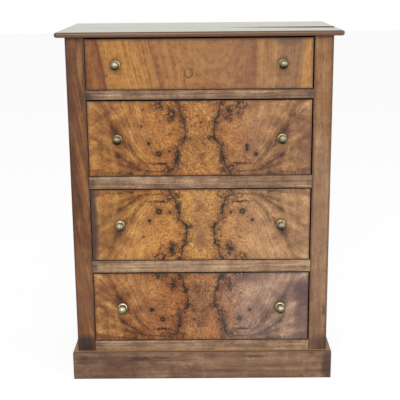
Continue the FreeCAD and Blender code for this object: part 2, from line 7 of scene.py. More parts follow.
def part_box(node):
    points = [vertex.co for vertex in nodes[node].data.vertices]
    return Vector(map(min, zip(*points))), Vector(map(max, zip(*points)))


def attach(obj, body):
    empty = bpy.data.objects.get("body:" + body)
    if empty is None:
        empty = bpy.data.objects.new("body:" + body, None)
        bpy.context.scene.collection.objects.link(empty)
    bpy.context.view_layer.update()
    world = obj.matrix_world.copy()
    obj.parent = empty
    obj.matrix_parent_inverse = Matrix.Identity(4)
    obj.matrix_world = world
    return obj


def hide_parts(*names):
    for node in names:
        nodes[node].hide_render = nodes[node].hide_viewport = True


# Walnut chest of four drawers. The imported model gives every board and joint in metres. This script
# gives them their woods and metal, sinks the worn end of the top, turns finer knobs and a finer keyhole
# ring, and sets up the studio.

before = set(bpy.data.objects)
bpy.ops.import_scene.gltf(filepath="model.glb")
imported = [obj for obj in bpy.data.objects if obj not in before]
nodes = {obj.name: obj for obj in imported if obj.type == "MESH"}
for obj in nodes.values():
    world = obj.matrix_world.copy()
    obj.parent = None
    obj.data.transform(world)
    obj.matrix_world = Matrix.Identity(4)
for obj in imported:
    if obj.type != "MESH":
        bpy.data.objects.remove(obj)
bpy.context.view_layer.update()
mm = 0.001
drawers = (1, 2, 3, 4)  # from the top
print("frame loaded:", len(nodes), "pieces")


def boxOf(name):
    # a piece's low and high corner in millimetres
    return [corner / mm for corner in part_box(name)]


# Materials: what they all share

def linear(hexColour):
    # an sRGB colour such as #B07B3F, made linear
    channels = [int(hexColour[i:i + 2], 16) / 255 for i in (1, 3, 5)]
    return tuple(c / 12.92 if c <= 0.04045 else ((c + 0.055) / 1.055) ** 2.4 for c in channels) + (1.0,)


def add(tree, kind, settings, output=0):
    # one node: sockets are linked, other settings are values; gives back one of its outputs, or several
    node = tree.nodes.new("ShaderNode" + kind)
    for name, value in settings.items():
        if name == "stops":
            ramp = node.color_ramp
            for place, colour in value[2:]:
                ramp.elements.new(place)
            for element, (place, colour) in zip(ramp.elements, value):
                element.position = place
                element.color = linear(colour)
        elif name == "points":
            curve = node.mapping.curves[0]
            for place in value[2:]:
                curve.points.new(*place)
            for point, place in zip(curve.points, value):
                point.location = place
            node.mapping.update()
        elif isinstance(value, bpy.types.NodeSocket):
            tree.links.new(value, node.inputs[name])
        elif isinstance(name, int) or name in node.inputs:
            node.inputs[name].default_value = value
        else:
            setattr(node, name, value)
    if isinstance(output, tuple):
        return [node.outputs[index] for index in output]
    return node.outputs[output] if node.outputs else None


smooth = {"interpolation_type": "SMOOTHSTEP"}  # Map Range: 0 value, 1 and 2 from, 3 and 4 to, or 0 and 1
falling = smooth | {3: 1, 4: 0}
minus = {"operation": "SUBTRACT"}
over = {"operation": "DIVIDE"}
unsigned = {"operation": "ABSOLUTE"}
times = {"operation": "MULTIPLY"}
timesPlus = {"operation": "MULTIPLY_ADD"}  # 0 times 1, plus 2
colours = {"data_type": "RGBA"}  # Mix: 0 factor, 6 and 7 the colours, output 2
anyDepth = 1e6  # a scale so large that the depth of a point no longer counts
# where the tones of a look stand on its ramp, by how many there are
tonePlaces = {4: (0, 0.4, 0.7, 1), 5: (0, 0.3, 0.55, 0.78, 1), 6: (0, 0.22, 0.44, 0.62, 0.8, 1)}


def newMaterial(name, finish):
    material = bpy.data.materials.new(name)
    material.use_nodes = True
    tree = material.node_tree
    shader = tree.nodes["Principled BSDF"]
    for socket, value in finish.items():
        shader.inputs[socket].default_value = value
    return material, tree, shader


def wired(tree, shader, sources):
    # patterns linked into the sockets of a material's shader
    for socket, source in sources.items():
        tree.links.new(source, shader.inputs[socket])


def toned(tree, value, tones):
    # the colours of a look, from dark to pale, laid over a pattern
    return add(tree, "ValToRGB", {"Fac": value, "stops": list(zip(tonePlaces[len(tones)], tones))})


def overlaid(tree, colour, layers):
    # stains one after another: how much of each there is at a point, and its colour
    for share, tint in layers:
        colour = add(tree, "Mix", colours | {0: share, 6: colour, 7: linear(tint)}, 2)
    return colour


def strongest(tree, masks):
    # the largest of several masks at each point
    total = masks[0]
    for mask in masks[1:]:
        total = add(tree, "Math", {"operation": "MAXIMUM", 0: total, 1: mask})
    return total


def millimetres(tree, origin=(0, 0, 0), up=1):
    # the piece's own coordinates in millimetres from a point of the chest; up=-1 turns it upside down
    x, y, z = origin
    return add(tree, "Mapping", {"Vector": add(tree, "TexCoord", {}, "Object"),
                                 "Location": (-x, -y, -z * up), "Scale": (1000, 1000, 1000 * up)})


def wandering(tree, place, size, reach, detail=2):
    # bends a pattern, so that its lines wander by about reach over each size
    drift = add(tree, "TexNoise", {"Vector": place, "Scale": 1 / size, "Detail": detail}, 1)
    centred = add(tree, "VectorMath", minus | {0: drift, 1: (0.5, 0.5, 0.5)})
    return add(tree, "VectorMath", timesPlus | {0: centred, 1: [reach] * 3, 2: place})


def marks(tree, place, spots, soft=0.6):
    # round marks on the front, each an x, a height and a radius
    flat = add(tree, "VectorMath", times | {0: place, 1: (1, 0, 1)})
    masks = []
    for x, z, radius in spots:
        away = add(tree, "VectorMath", {"operation": "DISTANCE", 0: flat, 1: (x, 0, z)}, "Value")
        near, far = radius * (1 - soft), radius * (1 + soft)
        masks.append(add(tree, "MapRange", falling | {0: away, 1: near, 2: far}))
    return strongest(tree, masks)


def fromOval(tree, place, x, z, wide, high):
    # how far a point of the front is from the middle of an oval, which ends at 1
    scaled = add(tree, "Mapping", {"vector_type": "TEXTURE", "Vector": place, "Location": (x, 0, z),
                                   "Scale": (wide, anyDepth, high)})
    return add(tree, "VectorMath", {"operation": "LENGTH", 0: scaled}, "Value")


def nearEdges(tree, place, low, high, width):
    # 1 at the edges of a rectangle on the front, falling to 0 over the width
    gaps = []
    for along, near, far in zip(add(tree, "SeparateXYZ", {0: place}, (0, 2)), low, high):
        offset = add(tree, "Math", minus | {0: along, 1: (near + far) / 2})
        size = add(tree, "Math", unsigned | {0: offset})
        gaps.append(add(tree, "Math", minus | {0: (far - near) / 2, 1: size}))
    nearest = add(tree, "Math", {"operation": "MINIMUM", 0: gaps[0], 1: gaps[1]})
    return add(tree, "MapRange", falling | {0: nearest, 1: 0, 2: width})


def stained(tree, colour, place, stains):
    # cloudy stains: x, height, half width, half height, colour and strength of each
    ragged = wandering(tree, place, 14, 9, 4)
    return overlaid(tree, colour, [
        (add(tree, "MapRange", smooth | {0: fromOval(tree, ragged, x, z, wide, high), 1: 0.35, 2: 1.15,
                                         3: strength, 4: 0}), tint)
        for x, z, wide, high, tint, strength in stains])


# Solid woods: sawn and planed boards, oiled or left bare

holeColour = "#170D09"  # of nail holes and worm holes


def dirtyAndShadedEdges(tree, colour, place, box, grime):
    # dirt and painted shade on the edges of a front: a soft band, and a dark line that goes on into the gap
    # beside it
    low, high = box
    depth = add(tree, "SeparateXYZ", {0: place}, 1)
    worn = wandering(tree, place, 12, 4, 3)
    for width, most, tint, reach in ((grime["band"], grime["share"], "#2E1C12", 2),
                                     (grime["line"], 0.94, "#140C08", grime["reach"])):
        at = place if width == grime["line"] else worn
        edge = nearEdges(tree, at, (low.x, low.z), (high.x, high.z), width)
        front = add(tree, "MapRange", smooth | {0: depth, 1: low.y + reach, 2: low.y + reach * 2,
                                                3: most, 4: 0})
        edge = add(tree, "Math", times | {0: edge, 1: front})
        colour = overlaid(tree, colour, [(edge, tint)])
    return colour


def openJoint(tree, colour, place, joint):
    # the joint in the top, black with dust and painted shadow, that opens towards its right end; and the
    # handled front edge
    x, y = add(tree, "SeparateXYZ", {0: wandering(tree, place, 60, 2, 3)}, (0, 1))
    offset = add(tree, "Math", minus | {0: y, 1: joint["y"]})
    away = add(tree, "Math", unsigned | {0: offset})
    width = add(tree, "MapRange", {0: x, 1: joint["opens"], 2: joint["end"], 3: joint["closed"],
                                   4: joint["open"]})
    dark = add(tree, "MapRange", falling | {0: away, 1: 0.5, 2: width})
    edge = joint["front"]
    front = add(tree, "MapRange", smooth | {0: y, 1: edge + 3, 2: edge + 7, 3: 0.85, 4: 0})
    return overlaid(tree, colour, ((dark, "#0E0906"), (front, "#592F22"))), dark, front


def sawnWood(name, look, box):
    # slow bands, finer streaks and open pores, all drawn out along the grain; the pores of walnut are
    # drawn about ten times as wide as real ones, which are too fine for a picture of the whole chest
    material, tree, shader = newMaterial(name, look["finish"])
    place = millimetres(tree)
    offset = add(tree, "Mapping", {"Vector": place, "Location": look.get("log", (0, 0, 0)),
                                   "Rotation": look.get("turned", (0, 0, 0))})
    bent = wandering(tree, offset, look["bendLength"], look["bend"])
    along = "xyz".index(look["grain"])
    layers = []
    for across, length, detail in (look["bands"], look["streaks"], look["pores"]):
        scale = [1 / across] * 3
        scale[along] = 1 / length
        stretched = add(tree, "VectorMath", times | {0: bent, 1: scale})
        layers.append(add(tree, "TexNoise", {"Vector": stretched, "Scale": 1, "Detail": detail,
                                             "Roughness": 0.6}))
    bands, streaks, pores = layers
    cloud = add(tree, "TexNoise", {"Vector": offset, "Scale": 1 / look["cloudSize"], "Detail": 5,
                                   "Roughness": 0.6})
    tone = add(tree, "Mix", {0: 0.42, 2: bands, 3: streaks})
    tone = add(tree, "Mix", {0: look["cloudShare"], 2: tone, 3: cloud})
    tone = add(tree, "MapRange", {0: tone, 1: 0.5 - look["spread"], 2: 0.5 + look["spread"]})
    poreMask = add(tree, "MapRange", smooth | {0: pores, 1: 0.54, 2: 0.66, 4: look["poreDepth"]})
    colour = overlaid(tree, toned(tree, tone, look["tones"]), [(poreMask, look["poreColour"])])
    colour = stained(tree, colour, place, look.get("stains", []))
    if "holes" in look:
        colour = overlaid(tree, colour, [(marks(tree, place, look["holes"], 0.4), holeColour)])
    if "wornTop" in look:
        height, top = add(tree, "SeparateXYZ", {0: wandering(tree, place, 30, 2, 4)}, 2), look["wornTop"]
        wear = add(tree, "MapRange", smooth | {0: height, 1: top - 3, 2: top, 4: 0.75})
        colour = overlaid(tree, colour, [(wear, look["wornColour"])])
    # the top's joint, dark with dust and painted shadow, and its handled front edge
    if "joint" in look:
        colour, dustAndShadow, handled = openJoint(tree, colour, place, look["joint"])
    # dirt and painted shade along the edges and on into the gaps
    if "grime" in look:
        colour = dirtyAndShadedEdges(tree, colour, place, box, look["grime"])
    rough = look["finish"]["Roughness"]
    spread = add(tree, "MapRange", {0: streaks, 1: 0.3, 2: 0.7, 3: rough - 0.07, 4: rough + 0.07})
    if "joint" in look:
        spread = strongest(tree, (spread, dustAndShadow))
        bare = strongest(tree, (dustAndShadow, handled))
        coat = add(tree, "MapRange", {0: bare, 1: 0, 2: 0.6, 3: look["finish"]["Coat Weight"], 4: 0})
        wired(tree, shader, {"Coat Weight": coat})
    height = add(tree, "Math", timesPlus | {0: poreMask, 1: -1.2, 2: streaks})
    bump = add(tree, "Bump", {"Height": height, "Strength": look["relief"], "Distance": 0.3 * mm})
    wired(tree, shader, {"Base Color": colour, "Roughness": spread, "Normal": bump})
    return material


# Oiled walnut, planed: brown bands with darker streaks and open pores; the sheen is soft
walnut = {
    "finish": {"Roughness": 0.5, "IOR": 1.5, "Specular IOR Level": 0.3}, "grain": "z",
    "bands": (15, 420, 4), "streaks": (2.8, 130, 3), "pores": (1.2, 17, 1), "poreDepth": 0.55,
    "poreColour": "#2E1B12", "cloudSize": 46, "cloudShare": 0.3, "spread": 0.13, "relief": 0.25,
    "bendLength": 240, "bend": 18,
    "tones": ("#4B3020", "#6C4A30", "#85603F", "#9C7550", "#B48E66"),
}
post = walnut | {"spread": 0.12, "pores": (2.1, 14, 2), "poreDepth": 0.62,
                 # edges darkened with dirt and painted shade, on into the gaps
                 "grime": {"band": 7, "share": 0.5, "line": 1.3, "reach": 12}}
leftPost = post | {
    "log": (400, 190, 800), "turned": (0, 0.16, 0),
    "tones": ("#422718", "#5D3820", "#734527", "#8C5B31", "#A7733C"),
    "stains": [(-340, 780, 60, 260, "#4E3020", 0.3), (-344, 260, 50, 190, "#8E6444", 0.4),
               (-322, 918, 9, 62, "#9A7242", 0.6), (-338, 104, 46, 32, "#30231E", 0.85),
               (-352, 700, 12, 330, "#4A2C1C", 0.45), (-322, 560, 10, 120, "#8E6036", 0.4)],
}
rightPost = post | {
    "log": (-700, 190, -300), "grime": post["grime"] | {"band": 9, "share": 0.62}, "bend": 12,
    "tones": ("#69432B", "#865D3D", "#9A7049", "#AB8057", "#BD966A"),
    "stains": [(345, 480, 60, 300, "#A48C74", 0.3), (345, 880, 60, 160, "#7A5434", 0.4),
               (352, 104, 46, 34, "#443229", 0.75), (350, 205, 6, 22, "#3A2A26", 0.8),
               (326, 140, 14, 60, "#5E4638", 0.6), (340, 220, 50, 110, "#866A5E", 0.3)],
    "holes": [(333.5, 930, 1.2), (341, 915, 0.9), (329, 655, 1.1), (347, 640, 0.9), (335, 497, 1.0),
              (352, 322, 1.6), (336, 330, 1.0), (340, 800, 0.9)],
}
rail = walnut | {
    "grain": "x", "log": (-40, 0, 0), "bands": (8, 380, 4), "streaks": (1.9, 110, 3), "bend": 5,
    "cloudSize": 60, "cloudShare": 0.36, "spread": 0.12, "pores": (2.1, 9, 2), "poreDepth": 0.62,
    # edges darkened with dirt and painted shade, on into the gaps
    "grime": {"band": 4, "share": 0.5, "line": 1.0, "reach": 16},
    "tones": ("#553C2C", "#765741", "#8E6E54", "#A68666", "#C3A27C"),
    # the first six stains, dark patches at the rail ends beside the posts, are dirt and painted shade in the
    # corners
    "stains": [(-306, 826, 14, 14, "#2B2220", 0.8), (302, 826, 10, 14, "#4A3A34", 0.6),
               (-303, 581, 12, 14, "#4B3B30", 0.6), (302, 580, 14, 13, "#54443A", 0.6),
               (-303, 336, 12, 14, "#43362F", 0.6), (296, 334, 14, 9, "#53453C", 0.6),
               (-60, 336, 60, 8, "#7A5C4A", 0.4), (-180, 99, 60, 5, "#574338", 0.5),
               (120, 100, 70, 4, "#5F4A3C", 0.5), (-330, 100, 60, 14, "#4A3830", 0.6)],
}
paleRail = rail | {"tones": ("#6A4E3A", "#8B6B52", "#A68567", "#BC9B79", "#D2B48F")}
plinth = walnut | {
    "grain": "x", "log": (-500, 0, 60), "bands": (11, 340, 4), "streaks": (2.2, 120, 3), "bend": 7,
    # edges darkened with dirt and painted shade
    "cloudSize": 44, "cloudShare": 0.4, "grime": {"band": 5, "share": 0.5, "line": 0.8, "reach": 3},
    "wornTop": 82.5, "wornColour": "#A98764",
    "tones": ("#523A2C", "#6D4F3C", "#83624C", "#98765A", "#B0906C"),
    "stains": [(-250, 40, 190, 60, "#5A3D2E", 0.28), (170, 40, 170, 44, "#9E7C5E", 0.25),
               (-384, 40, 10, 60, "#3A2925", 0.6), (-178, 62, 34, 7, "#33261F", 0.75),
               (-120, 66, 30, 4, "#3C2D25", 0.6), (150, 68, 44, 5, "#4A3930", 0.7),
               (360, 40, 20, 50, "#3A2925", 0.7), (-345, 60, 22, 20, "#3F2D24", 0.6),
               (60, 24, 90, 8, "#5C4334", 0.5), (-250, 20, 90, 14, "#6E4C38", 0.4),
               (40, 52, 120, 6, "#9A7A58", 0.35)],
    "holes": [(142.6, 67, 1.0), (142.4, 63, 0.9)],
}
panel = walnut | {"log": (0, -900, -60), "bands": (24, 460, 4), "streaks": (3.2, 150, 3), "bend": 34,
                  "cloudSize": 90}
sideRail = panel | {"grain": "y", "log": (0, -300, -200)}

# The top: old varnish over walnut, which mirrors the light room when seen from low down
topLow, topHigh = boxOf("top_back_board")
topBoard = walnut | {
    "finish": {"Roughness": 0.36, "IOR": 1.5, "Specular IOR Level": 0.85, "Specular Tint": linear("#F2F2D6"),
               "Coat Weight": 0.8, "Coat Roughness": 0.2, "Coat Tint": linear("#F2FFE6")},
    "grain": "x", "log": (-90, 0, -990), "bands": (16, 700, 3), "streaks": (3.4, 300, 3), "bend": 6,
    "tones": ("#46281A", "#5F3B27", "#724A30", "#85583A", "#9C6E4A"),
    "joint": {"y": topLow.y, "opens": 140, "end": topHigh.x, "closed": 2.2, "open": 9,
              "front": boxOf("top_front_board")[0].y},
}

# Oak, sawn and planed, left bare inside: pale brown, with long open pores
oak = walnut | {
    "finish": {"Roughness": 0.62, "IOR": 1.5}, "grain": "y", "bands": (14, 420, 3), "streaks": (2.2, 90, 3),
    "pores": (0.9, 26, 1), "poreDepth": 0.6, "poreColour": "#6B4E33", "relief": 0.35,
    "tones": ("#8A6A47", "#A58358", "#B79668", "#C9AB7C"),
}
# Poplar, bare: plain and pale, darkened by age
poplar = walnut | {
    "finish": {"Roughness": 0.66, "IOR": 1.5}, "grain": "x", "bands": (30, 700, 3), "streaks": (4, 160, 3),
    "pores": (0.8, 8, 1), "poreDepth": 0.18, "poreColour": "#6E5A40", "relief": 0.3,
    "tones": ("#846A4B", "#9E825E", "#AE926C", "#C2A880"),
}
# the back: three boards with dark joints, nailed at their ends
backLow, backHigh = boxOf("back_boards")
boardPitch = (backHigh.z - backLow.z) / 3
backBoards = poplar | {
    "log": (0, 0, 300), "bands": (22, 600, 4), "streaks": (4, 200, 3), "cloudSize": 80,
    "tones": ("#765A40", "#8F7051", "#A0805E", "#B5946E"),
    "stains": [(0, backLow.z + boardPitch * joint, 4000, 3, "#241A12", 0.9) for joint in (1, 2)],
    "holes": [(x, backLow.z + boardPitch * (board + share), 2.6) for board in (0, 1, 2)
              for share in (0.15, 0.5, 0.85) for x in (backLow.x + 8, backHigh.x - 8)],
}
# the core's edges, seen in the gaps between the drawers, darkened with dirt and painted shade
frontCore = poplar | {"grime": {"band": 6, "share": 0.9, "line": 2.0, "reach": 18}}

dressing = {  # material: the board it is written for, its look, and other pieces from the same log
    "oiledWalnutLeftPost": ("front_post_left", leftPost, ["rear_post_left"]),
    "oiledWalnutRightPost": ("front_post_right", rightPost, ["rear_post_right"]),
    "oiledWalnutRail1": ("drawer_rail_1", rail | {"log": (0, 0, 40)}, []),
    "oiledWalnutRail2": ("drawer_rail_2", rail | {"log": (300, 0, 0)}, []),
    "oiledWalnutRail3": ("drawer_rail_3", paleRail | {"log": (-90, 0, 90)}, []),
    "oiledWalnutBottomRail": ("bottom_rail", paleRail | {"log": (70, 30, 0)}, []),
    "oiledWalnutPlinth": ("plinth_front", plinth, []),
    "oiledWalnutPlinthEnds": ("plinth_left", plinth | {"grain": "y", "stains": []}, ["plinth_right"]),
    "oiledWalnutPanels": ("side_panel_left", panel, ["side_panel_right"]),
    "oiledWalnutSideRails": ("side_top_rail_left", sideRail, [
        "side_top_rail_right", "side_bottom_rail_left", "side_bottom_rail_right"]),
    "varnishedWalnutTop": ("top_front_board", topBoard, ["top_back_board"]),
    "bareOakLengthwise": ("drawer_1_left_side", oak, [
        name for name in nodes
        if name.endswith(("_left_side", "_right_side")) or name.startswith("runners")]),
    "bareOakCrosswise": ("drawer_1_back", oak | {"grain": "x", "log": (200, 0, 77)}, [
        "drawer_2_back", "drawer_3_back", "drawer_4_back", "drawer_stops", "glue_blocks"]),
    "barePoplarBack": ("back_boards", backBoards, []),
    "barePoplar": ("back_top_rail", poplar, ["back_bottom_rail"] + [
        f"drawer_{drawer}_bottom" for drawer in drawers]),
}
for drawer in drawers:
    dressing[f"poplarFrontCore{drawer}"] = (f"drawer_{drawer}_front", frontCore, [])
for material, (board, look, others) in dressing.items():
    wood = sawnWood(material, look, boxOf(board))
    for name in [board] + others:
        nodes[name].data.materials[0] = wood
print("solid woods laid:", len(dressing))


# Veneers

frontFinish = {"Roughness": 0.42, "IOR": 1.5, "Specular IOR Level": 0.3}
knobPlaces = (-226.65, 224.85)  # of all drawers, from the middle of the chest
seam = -0.9  # where the two leaves of a front meet
belowFront = 1  # heights on a front count from this far below its veneer

# The leaves' common figure, in millimetres outwards from the seam and up the leaf
figure = {
    "leafHigh": 215, "leafWide": 120,
    # the burr's edge: height and how far out it is there
    "inkLine": [(0, 86), (9, 83), (18, 74), (30, 69), (42, 67), (60, 60), (78, 61), (88, 58), (95, 48),
                (103, 40), (113, 38), (125, 38), (140, 41), (155, 44), (172, 50), (186, 53), (200, 58),
                (215, 70)],
    # outwards, up, half width, half height: where the dark lines crowd and coil
    "tangles": [(80, 172, 20, 26), (112, 196, 26, 16), (82, 18, 28, 20), (112, 35, 36, 5), (64, 54, 10, 28),
                (36, 106, 17, 11), (46, 152, 12, 14), (58, 192, 14, 16)],
    # more ink: the axis a stroke runs along and the one it rises on, its points and span on them, its width
    # and its share
    "strokes": [
        {"axes": (2, 0), "ragged": True, "span": (148, 196), "width": 5, "share": 0.95,
         "points": [(135, 88), (150, 84), (158, 87), (165, 76), (172, 87), (180, 79), (196, 85), (215, 90)]},
        {"axes": (0, 2), "ragged": True, "span": (99, 128), "width": 4.5, "share": 0.95,
         "points": [(0, 37), (90, 37), (100, 34), (115, 36), (128, 32), (165, 33), (300, 33)]},
        {"axes": (2, 0), "ragged": True, "span": (96, 118), "width": 2.6, "share": 0.5,
         "points": [(0, 60), (90, 58), (97, 33), (104, 24), (112, 26), (122, 38), (215, 40)]},
        {"axes": (0, 2), "ragged": False, "span": (98, 232), "width": 4, "share": 0.7,
         "points": [(0, 13), (90, 13), (140, 15), (165, 18), (180, 24), (195, 34), (210, 47), (230, 57),
                    (300, 72)]},
        {"axes": (0, 2), "ragged": False, "span": (188, 216), "width": 5, "share": 0.75,
         "points": [(0, 8), (150, 9), (185, 9), (200, 6), (220, 1), (300, 0)]},
        {"axes": (2, 0), "ragged": False, "span": (52, 98), "width": 4.5, "share": 0.5,
         "points": [(0, 170), (45, 180), (60, 184), (75, 190), (90, 196), (215, 230)]},
    ],
    "strokeFade": 6,  # a stroke fades out over this far on both sides of its ends
    # a cut through the streaks that fan out of the burr's foot, from the leaf's lower edge upwards
    "fan": [(0.0, "#CDC0A2"), (0.03, "#7A6848"), (0.056, "#C8BA98"), (0.1, "#F0E8D2"), (0.15, "#A4946E"),
            (0.19, "#D8CCA8"), (0.22, "#AC9C74"), (0.244, "#62523A"), (0.27, "#BCAE86"), (0.32, "#F4EEDA"),
            (0.39, "#FFFFFF"), (0.45, "#C6BA92"), (0.495, "#746448"), (0.53, "#C2B68E"), (0.6, "#F2EEDC"),
            (0.75, "#FFFFFF")],
    # where the fan begins, how far out it still opens, how closely it crowds at first, and what makes the
    # slopes of its streaks 0 to 1; then how fast the streaks break up, and how fast the grain changes along
    # and across
    "fanRoot": 106, "fanReach": 170, "fanCrowd": 1000, "fanScale": 44, "fanBreaks": 0.012,
    "grainAlong": 0.014, "grainAcross": 11,
    "fanFrom": (112, 150), "fanTo": (250, 300),  # where it fades in and out, outwards from the seam
}


def ovals(tree, place, spots):
    # soft ovals on the front, 1 in the middle: x, height, half width and half height of each
    return strongest(tree, [
        add(tree, "MapRange", falling | {0: fromOval(tree, place, *spot), 1: 0.45, 2: 1.25})
        for spot in spots])


def inkStrokes(tree, ragged, calm, weight):
    # the strokes of the figure, each thicker and thinner as it goes and faded out at its ends
    uneven = add(tree, "MapRange", {0: weight, 1: 0.38, 2: 0.64, 3: 0.6, 4: 1.3})
    longest = 300
    lines = []
    for stroke in figure["strokes"]:
        run, rise = add(tree, "SeparateXYZ", {0: ragged if stroke["ragged"] else calm}, stroke["axes"])
        share = add(tree, "Math", over | {0: run, 1: longest})
        curve = add(tree, "FloatCurve", {"Factor": 1.0, "Value": share, "points": [
            (at / longest, height / longest) for at, height in stroke["points"]]})
        gap = add(tree, "Math", timesPlus | {0: curve, 1: -longest, 2: rise})
        gap = add(tree, "Math", unsigned | {0: gap})
        width = add(tree, "Math", times | {0: uneven, 1: stroke["width"]})
        line = add(tree, "MapRange", smooth | {0: gap, 1: 0.2, 2: width, 3: stroke["share"], 4: 0})
        (start, end), reach = stroke["span"], figure["strokeFade"]
        for near, far in ((start - reach, start + reach), (end + reach, end - reach)):
            fade = add(tree, "MapRange", smooth | {0: run, 1: near, 2: far})
            line = add(tree, "Math", times | {0: line, 1: fade})
        lines.append(line)
    return strongest(tree, lines)


def inkLines(tree, leaf, tangled):
    # the burr's edge as a wandering ink line, and thin lines that coil beside it and in the tangles
    x, z = add(tree, "SeparateXYZ", {0: wandering(tree, leaf, 16, 17, 5)}, (0, 2))
    climb = add(tree, "Math", over | {0: z, 1: figure["leafHigh"]})
    curve = add(tree, "FloatCurve", {"Factor": 1.0, "Value": climb, "points": [
        (height / figure["leafHigh"], out / figure["leafWide"]) for height, out in figure["inkLine"]]})
    border = add(tree, "Math", times | {0: curve, 1: figure["leafWide"]})
    beyond = add(tree, "Math", minus | {0: x, 1: border})
    fromLine = add(tree, "Math", unsigned | {0: beyond})
    weight = add(tree, "TexNoise", {"Vector": leaf, "Scale": 1 / 17, "Detail": 4})
    lineWidth = add(tree, "MapRange", {0: weight, 1: 0.4, 2: 0.64, 3: 2.2, 4: 6})
    ink = add(tree, "MapRange", falling | {0: fromLine, 1: 0.2, 2: lineWidth})
    coiled = wandering(tree, leaf, 11, 9, 2)
    twist = add(tree, "TexNoise", {"Vector": coiled, "Scale": 1 / 17, "Detail": 2, "Distortion": 0.5})
    levels = add(tree, "Math", times | {0: twist, 1: 4})
    offLine = add(tree, "Math", {"operation": "PINGPONG", 0: levels, 1: 0.5})
    offLine = add(tree, "Math", minus | {0: 0.5, 1: offLine})
    beside = add(tree, "MapRange", smooth | {0: fromLine, 1: 5, 2: 30, 3: 0.85, 4: 0})
    crowd = strongest(tree, (tangled, beside))
    hairWidth = add(tree, "MapRange", {0: crowd, 3: 0.1, 4: 0.36})
    hair = add(tree, "MapRange", falling | {0: offLine, 1: 0.02, 2: hairWidth})
    cells = add(tree, "TexVoronoi", {"feature": "DISTANCE_TO_EDGE", "Scale": 1 / 15,
                                     "Vector": wandering(tree, leaf, 9, 11, 3)}, "Distance")
    loopWidth = add(tree, "MapRange", {0: weight, 1: 0.38, 2: 0.6, 3: 0.07, 4: 0.17})
    loops = add(tree, "MapRange", smooth | {0: cells, 1: 0.01, 2: loopWidth, 3: 0.95, 4: 0})
    outside = add(tree, "MapRange", smooth | {0: beyond, 1: -9, 2: 1})
    hair = strongest(tree, (hair, add(tree, "Math", times | {0: loops, 1: outside})))
    patchy = add(tree, "MapRange", smooth | {0: weight, 1: 0.36, 2: 0.5, 3: 0.6})
    for share in (crowd, patchy):
        hair = add(tree, "Math", times | {0: hair, 1: share})
    faint = add(tree, "MapRange", {0: weight, 1: 0.38, 2: 0.52, 3: 0.8})
    ink = add(tree, "Math", times | {0: ink, 1: faint})
    strokes = inkStrokes(tree, wandering(tree, leaf, 14, 11, 4), wandering(tree, leaf, 60, 12, 3), weight)
    return strongest(tree, (ink, strokes, hair)), beyond


def fanStreaks(tree, leaf, away):
    # streaks that leave the burr's foot and fan out past the knobs: their tint, their share and a finer flow
    x, z = add(tree, "SeparateXYZ", {0: leaf}, (0, 2))
    out = add(tree, "Math", minus | {0: x, 1: figure["fanRoot"]})
    out = add(tree, "Math", {"operation": "MAXIMUM", 0: out, 1: 1})
    square = add(tree, "Math", {"operation": "POWER", 0: out, 1: 2})
    flatter = add(tree, "Math", timesPlus | {0: square, 1: 1 / figure["fanReach"] ** 2, 2: 1})
    spread = add(tree, "Math", over | {0: square, 1: flatter})
    spread = add(tree, "Math", {"operation": "ADD", 0: spread, 1: figure["fanCrowd"]})
    climb = add(tree, "Math", over | {0: z, 1: spread})
    across = add(tree, "Math", times | {0: climb, 1: figure["fanScale"]})
    tint = add(tree, "ValToRGB", {"Fac": across, "stops": figure["fan"]})
    along, grainAlong, grainAcross = (
        add(tree, "Math", times | {0: value, 1: figure[scale]})
        for value, scale in ((away, "fanBreaks"), (away, "grainAlong"), (across, "grainAcross")))
    broken = add(tree, "TexNoise", {"Vector": add(tree, "CombineXYZ", {0: along, 2: across}), "Scale": 5,
                                    "Detail": 4, "Roughness": 0.6})
    share = add(tree, "MapRange", smooth | {0: broken, 1: 0.36, 2: 0.6, 3: 0.25})
    (start, full), (ebbing, end) = figure["fanFrom"], figure["fanTo"]
    for value, none, whole in ((away, start, full), (away, end, ebbing), (across, 0.75, 0.55)):
        span = add(tree, "MapRange", smooth | {0: value, 1: none, 2: whole})
        share = add(tree, "Math", times | {0: share, 1: span})
    flow = add(tree, "TexNoise", {"Vector": add(tree, "CombineXYZ", {0: grainAlong, 2: grainAcross}),
                                  "Scale": 1, "Detail": 5, "Roughness": 0.65, "Distortion": 0.3})
    flow = add(tree, "Math", timesPlus | {0: flow, 1: 1.5, 2: -0.25})
    return tint, share, flow


